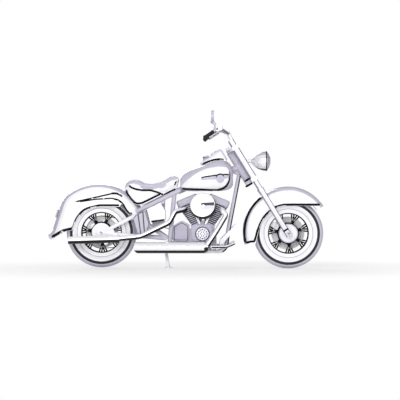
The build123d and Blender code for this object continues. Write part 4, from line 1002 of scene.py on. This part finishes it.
paint(shell_finish(), "headlamp")
paint(lens_finish(), "headlamp_lens")
bulb = [(0.0002, -0.018), (0.006, -0.020), (0.009, -0.027), (0.009, -0.040), (0.006, -0.046), (0.006, -0.060),
        (0.0002, -0.060)]
bulb_glass = Finish("bulb_glass", srgb(240, 240, 246), 0.1, bump=0.0).done()
solid("headlamp_bulb", [turned(bulb, lamp, (1, 0, 0), 24)], "steering", bulb_glass)

# Mirrors: a flat silvered glass, pressed in to the back of each oval shell, so that it faces the
# rider
mirror_silver = Finish("mirror_silver", srgb(226, 228, 236), 0.04, metallic=1.0, bump=0.0, uneven=0.01).done()


def mirror_glass(hand):
    """A thin oval plate: rings whose radii follow the ellipse, from its rim to its middle."""
    turn = full_turn(48)
    share = np.array([0.002, 0.90, 0.94, 0.94])[:, None]
    x = station(958.6) + np.array([-0.0016, -0.0016, -0.0006, 0.002])[:, None]
    return as_points(x, hand * 0.3468 + 0.062 * share * np.cos(turn), 1.3306 + 0.046 * share * np.sin(turn))


solid("mirror_glasses", [mirror_glass(1), mirror_glass(-1)], "steering", mirror_silver)

# Grips: black moulded rubber sleeves with close ribs and a rolled end, pushed on the handlebar. They
# take the place of the plain CAD grips.
bar_end = np.array([station(908.9), 0.420, 1.1421])
bar_run = np.array([0.5936, -0.6850, 0.4224])


def ribbed_grip(hand):
    """A tube whose radius swings with the distance along it, thicker at its rolled end."""
    along = np.linspace(-0.0078, 0.1118, 150)
    radius = 0.0163 + 0.0007 * np.sin(along * 2 * pi / 0.0075)
    radius = np.where(along < 0.004, 0.0196 - 0.004 * (np.abs(along + 0.002) / 0.006) ** 4, radius)
    profile = np.stack([radius, along], axis=1)
    profile = np.concatenate([[(0.0002, along[0])], profile, [(0.0002, along[-1])]])
    run = bar_run * [1, hand, 1]
    return turned(profile, bar_end * [1, hand, 1], run, 32)


grip_rubber = Finish("grip_rubber", ink, 0.6, grain=900.0, bump=0.2).done()
grip_pieces = solid("ribbed_grips", [ribbed_grip(1), ribbed_grip(-1)], "steering", grip_rubber)
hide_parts("grips")

# Fork: black rubber cushions clamped above and below the lower fork clamp, and a black steel band
# round the foot of each fork leg, which pinches it on the axle
rake = radians(31.5)
rake_s, rake_c = sin(rake), cos(rake)


def on_fork(up, ahead=0.0, y=0.0):
    """A point in metres this far up the fork's centre line from the axle and this far ahead of it."""
    height = (308 + up * rake_c + ahead * rake_s) / 1000
    return np.array([station(1632 - up * rake_s + ahead * rake_c), y / 1000, height])


def fork_block(y_mid, y_half, ahead_from, ahead_to, up_from, up_to):
    """A block along the fork with a round-cornered section: a squared circle of power 6 carried
    across the machine, drawn in at both ends."""
    turn = full_turn(32)
    c, s = np.cos(turn), np.sin(turn)
    scale = (np.abs(c) ** 6 + np.abs(s) ** 6) ** (-1 / 6)
    centre = on_fork((up_from + up_to) / 2, (ahead_from + ahead_to) / 2)
    fore = np.array([rake_c, 0, rake_s]) * (ahead_to - ahead_from) / 2000
    rise = np.array([-rake_s, 0, rake_c]) * (up_to - up_from) / 2000
    ring = (c * scale)[:, None] * fore + (s * scale)[:, None] * rise
    out = np.array([(-1, 0.86), (-0.92, 1.0), (0.92, 1.0), (1, 0.86)])
    across = np.array([0, 1.0, 0]) * y_half / 1000
    return centre + [0, y_mid / 1000, 0] + out[:, :1, None] * across + out[:, 1:, None] * ring


cushions = [fork_block(y, 17, rear, -30, low, high) for y in (-79, 79)
            for rear, low, high in ((-98, 530, 547), (-84, 577, 593))]
solid("clamp_cushions", cushions, "steering")


def foot_band(y):
    """A four-sided section turned about the fork leg, just above the axle."""
    ring = closed_profile([(0.0249, 0.0), (0.0268, 0.001), (0.0268, 0.015), (0.0249, 0.016)])
    return turned(ring, on_fork(28, 0, y), (-rake_s, 0, rake_c), 48)


solid("pinch_clamps", [foot_band(122), foot_band(-122)], "steering", capped=False)

# Tail lamp: a pale ribbed plastic lens, clipped over the lamp on the fender's tail. The ribs are fine
# enough to be bump alone.
tail_lens = Finish("tail_lens", srgb(206, 200, 216), 0.16, coat=0.5, bump=0.0)
tail_lens.shader.inputs["Transmission Weight"].default_value = 0.25
lens_ribs = tail_lens.maths("SINE", tail_lens.maths("MULTIPLY", tail_lens.axes[2], 1600.0))
paint(tail_lens.raise_by(lens_ribs, 0.6).done(), "tail_lamp")

# Footboards: a black rubber strip stuck along each board's edge as a painted shadow line, and a black
# rubber mat with cross ribs, let in to the board's top


def ribbed_mat(hand):
    """A low mat: the top's height swings with the station, and falls to nothing at the edges."""
    x = np.linspace(station(960), station(1090), 132)
    y = hand * np.array([0.166, 0.1675, 0.180, 0.217, 0.254, 0.2665, 0.268])
    edge = np.array([0, 1, 1, 1, 1, 1, 0])
    ends = np.clip(np.minimum(x - x[0], x[-1] - x) / 0.002, 0, 1)[:, None]
    rise = (0.0022 + 0.0012 * np.tanh(3 * np.sin((x - x[0]) * 2 * pi / 0.012)))[:, None]
    top = 0.2062 + edge * ends * rise
    top_grid = as_points(x[:, None], y, top)
    low_grid = top_grid[:, ::-1].copy()
    low_grid[..., 2] = 0.2055
    return np.concatenate([top_grid, low_grid], axis=1)


edging("footboard_shadow_line", [([(962, 190), (1100, 191), (1168, 222)], 0.011)], "footboards")
mat_rubber = Finish("mat_rubber", ink, 0.65, grain=700.0, bump=0.25).done()
solid("footboard_mats", [ribbed_mat(1), ribbed_mat(-1)], material=mat_rubber)
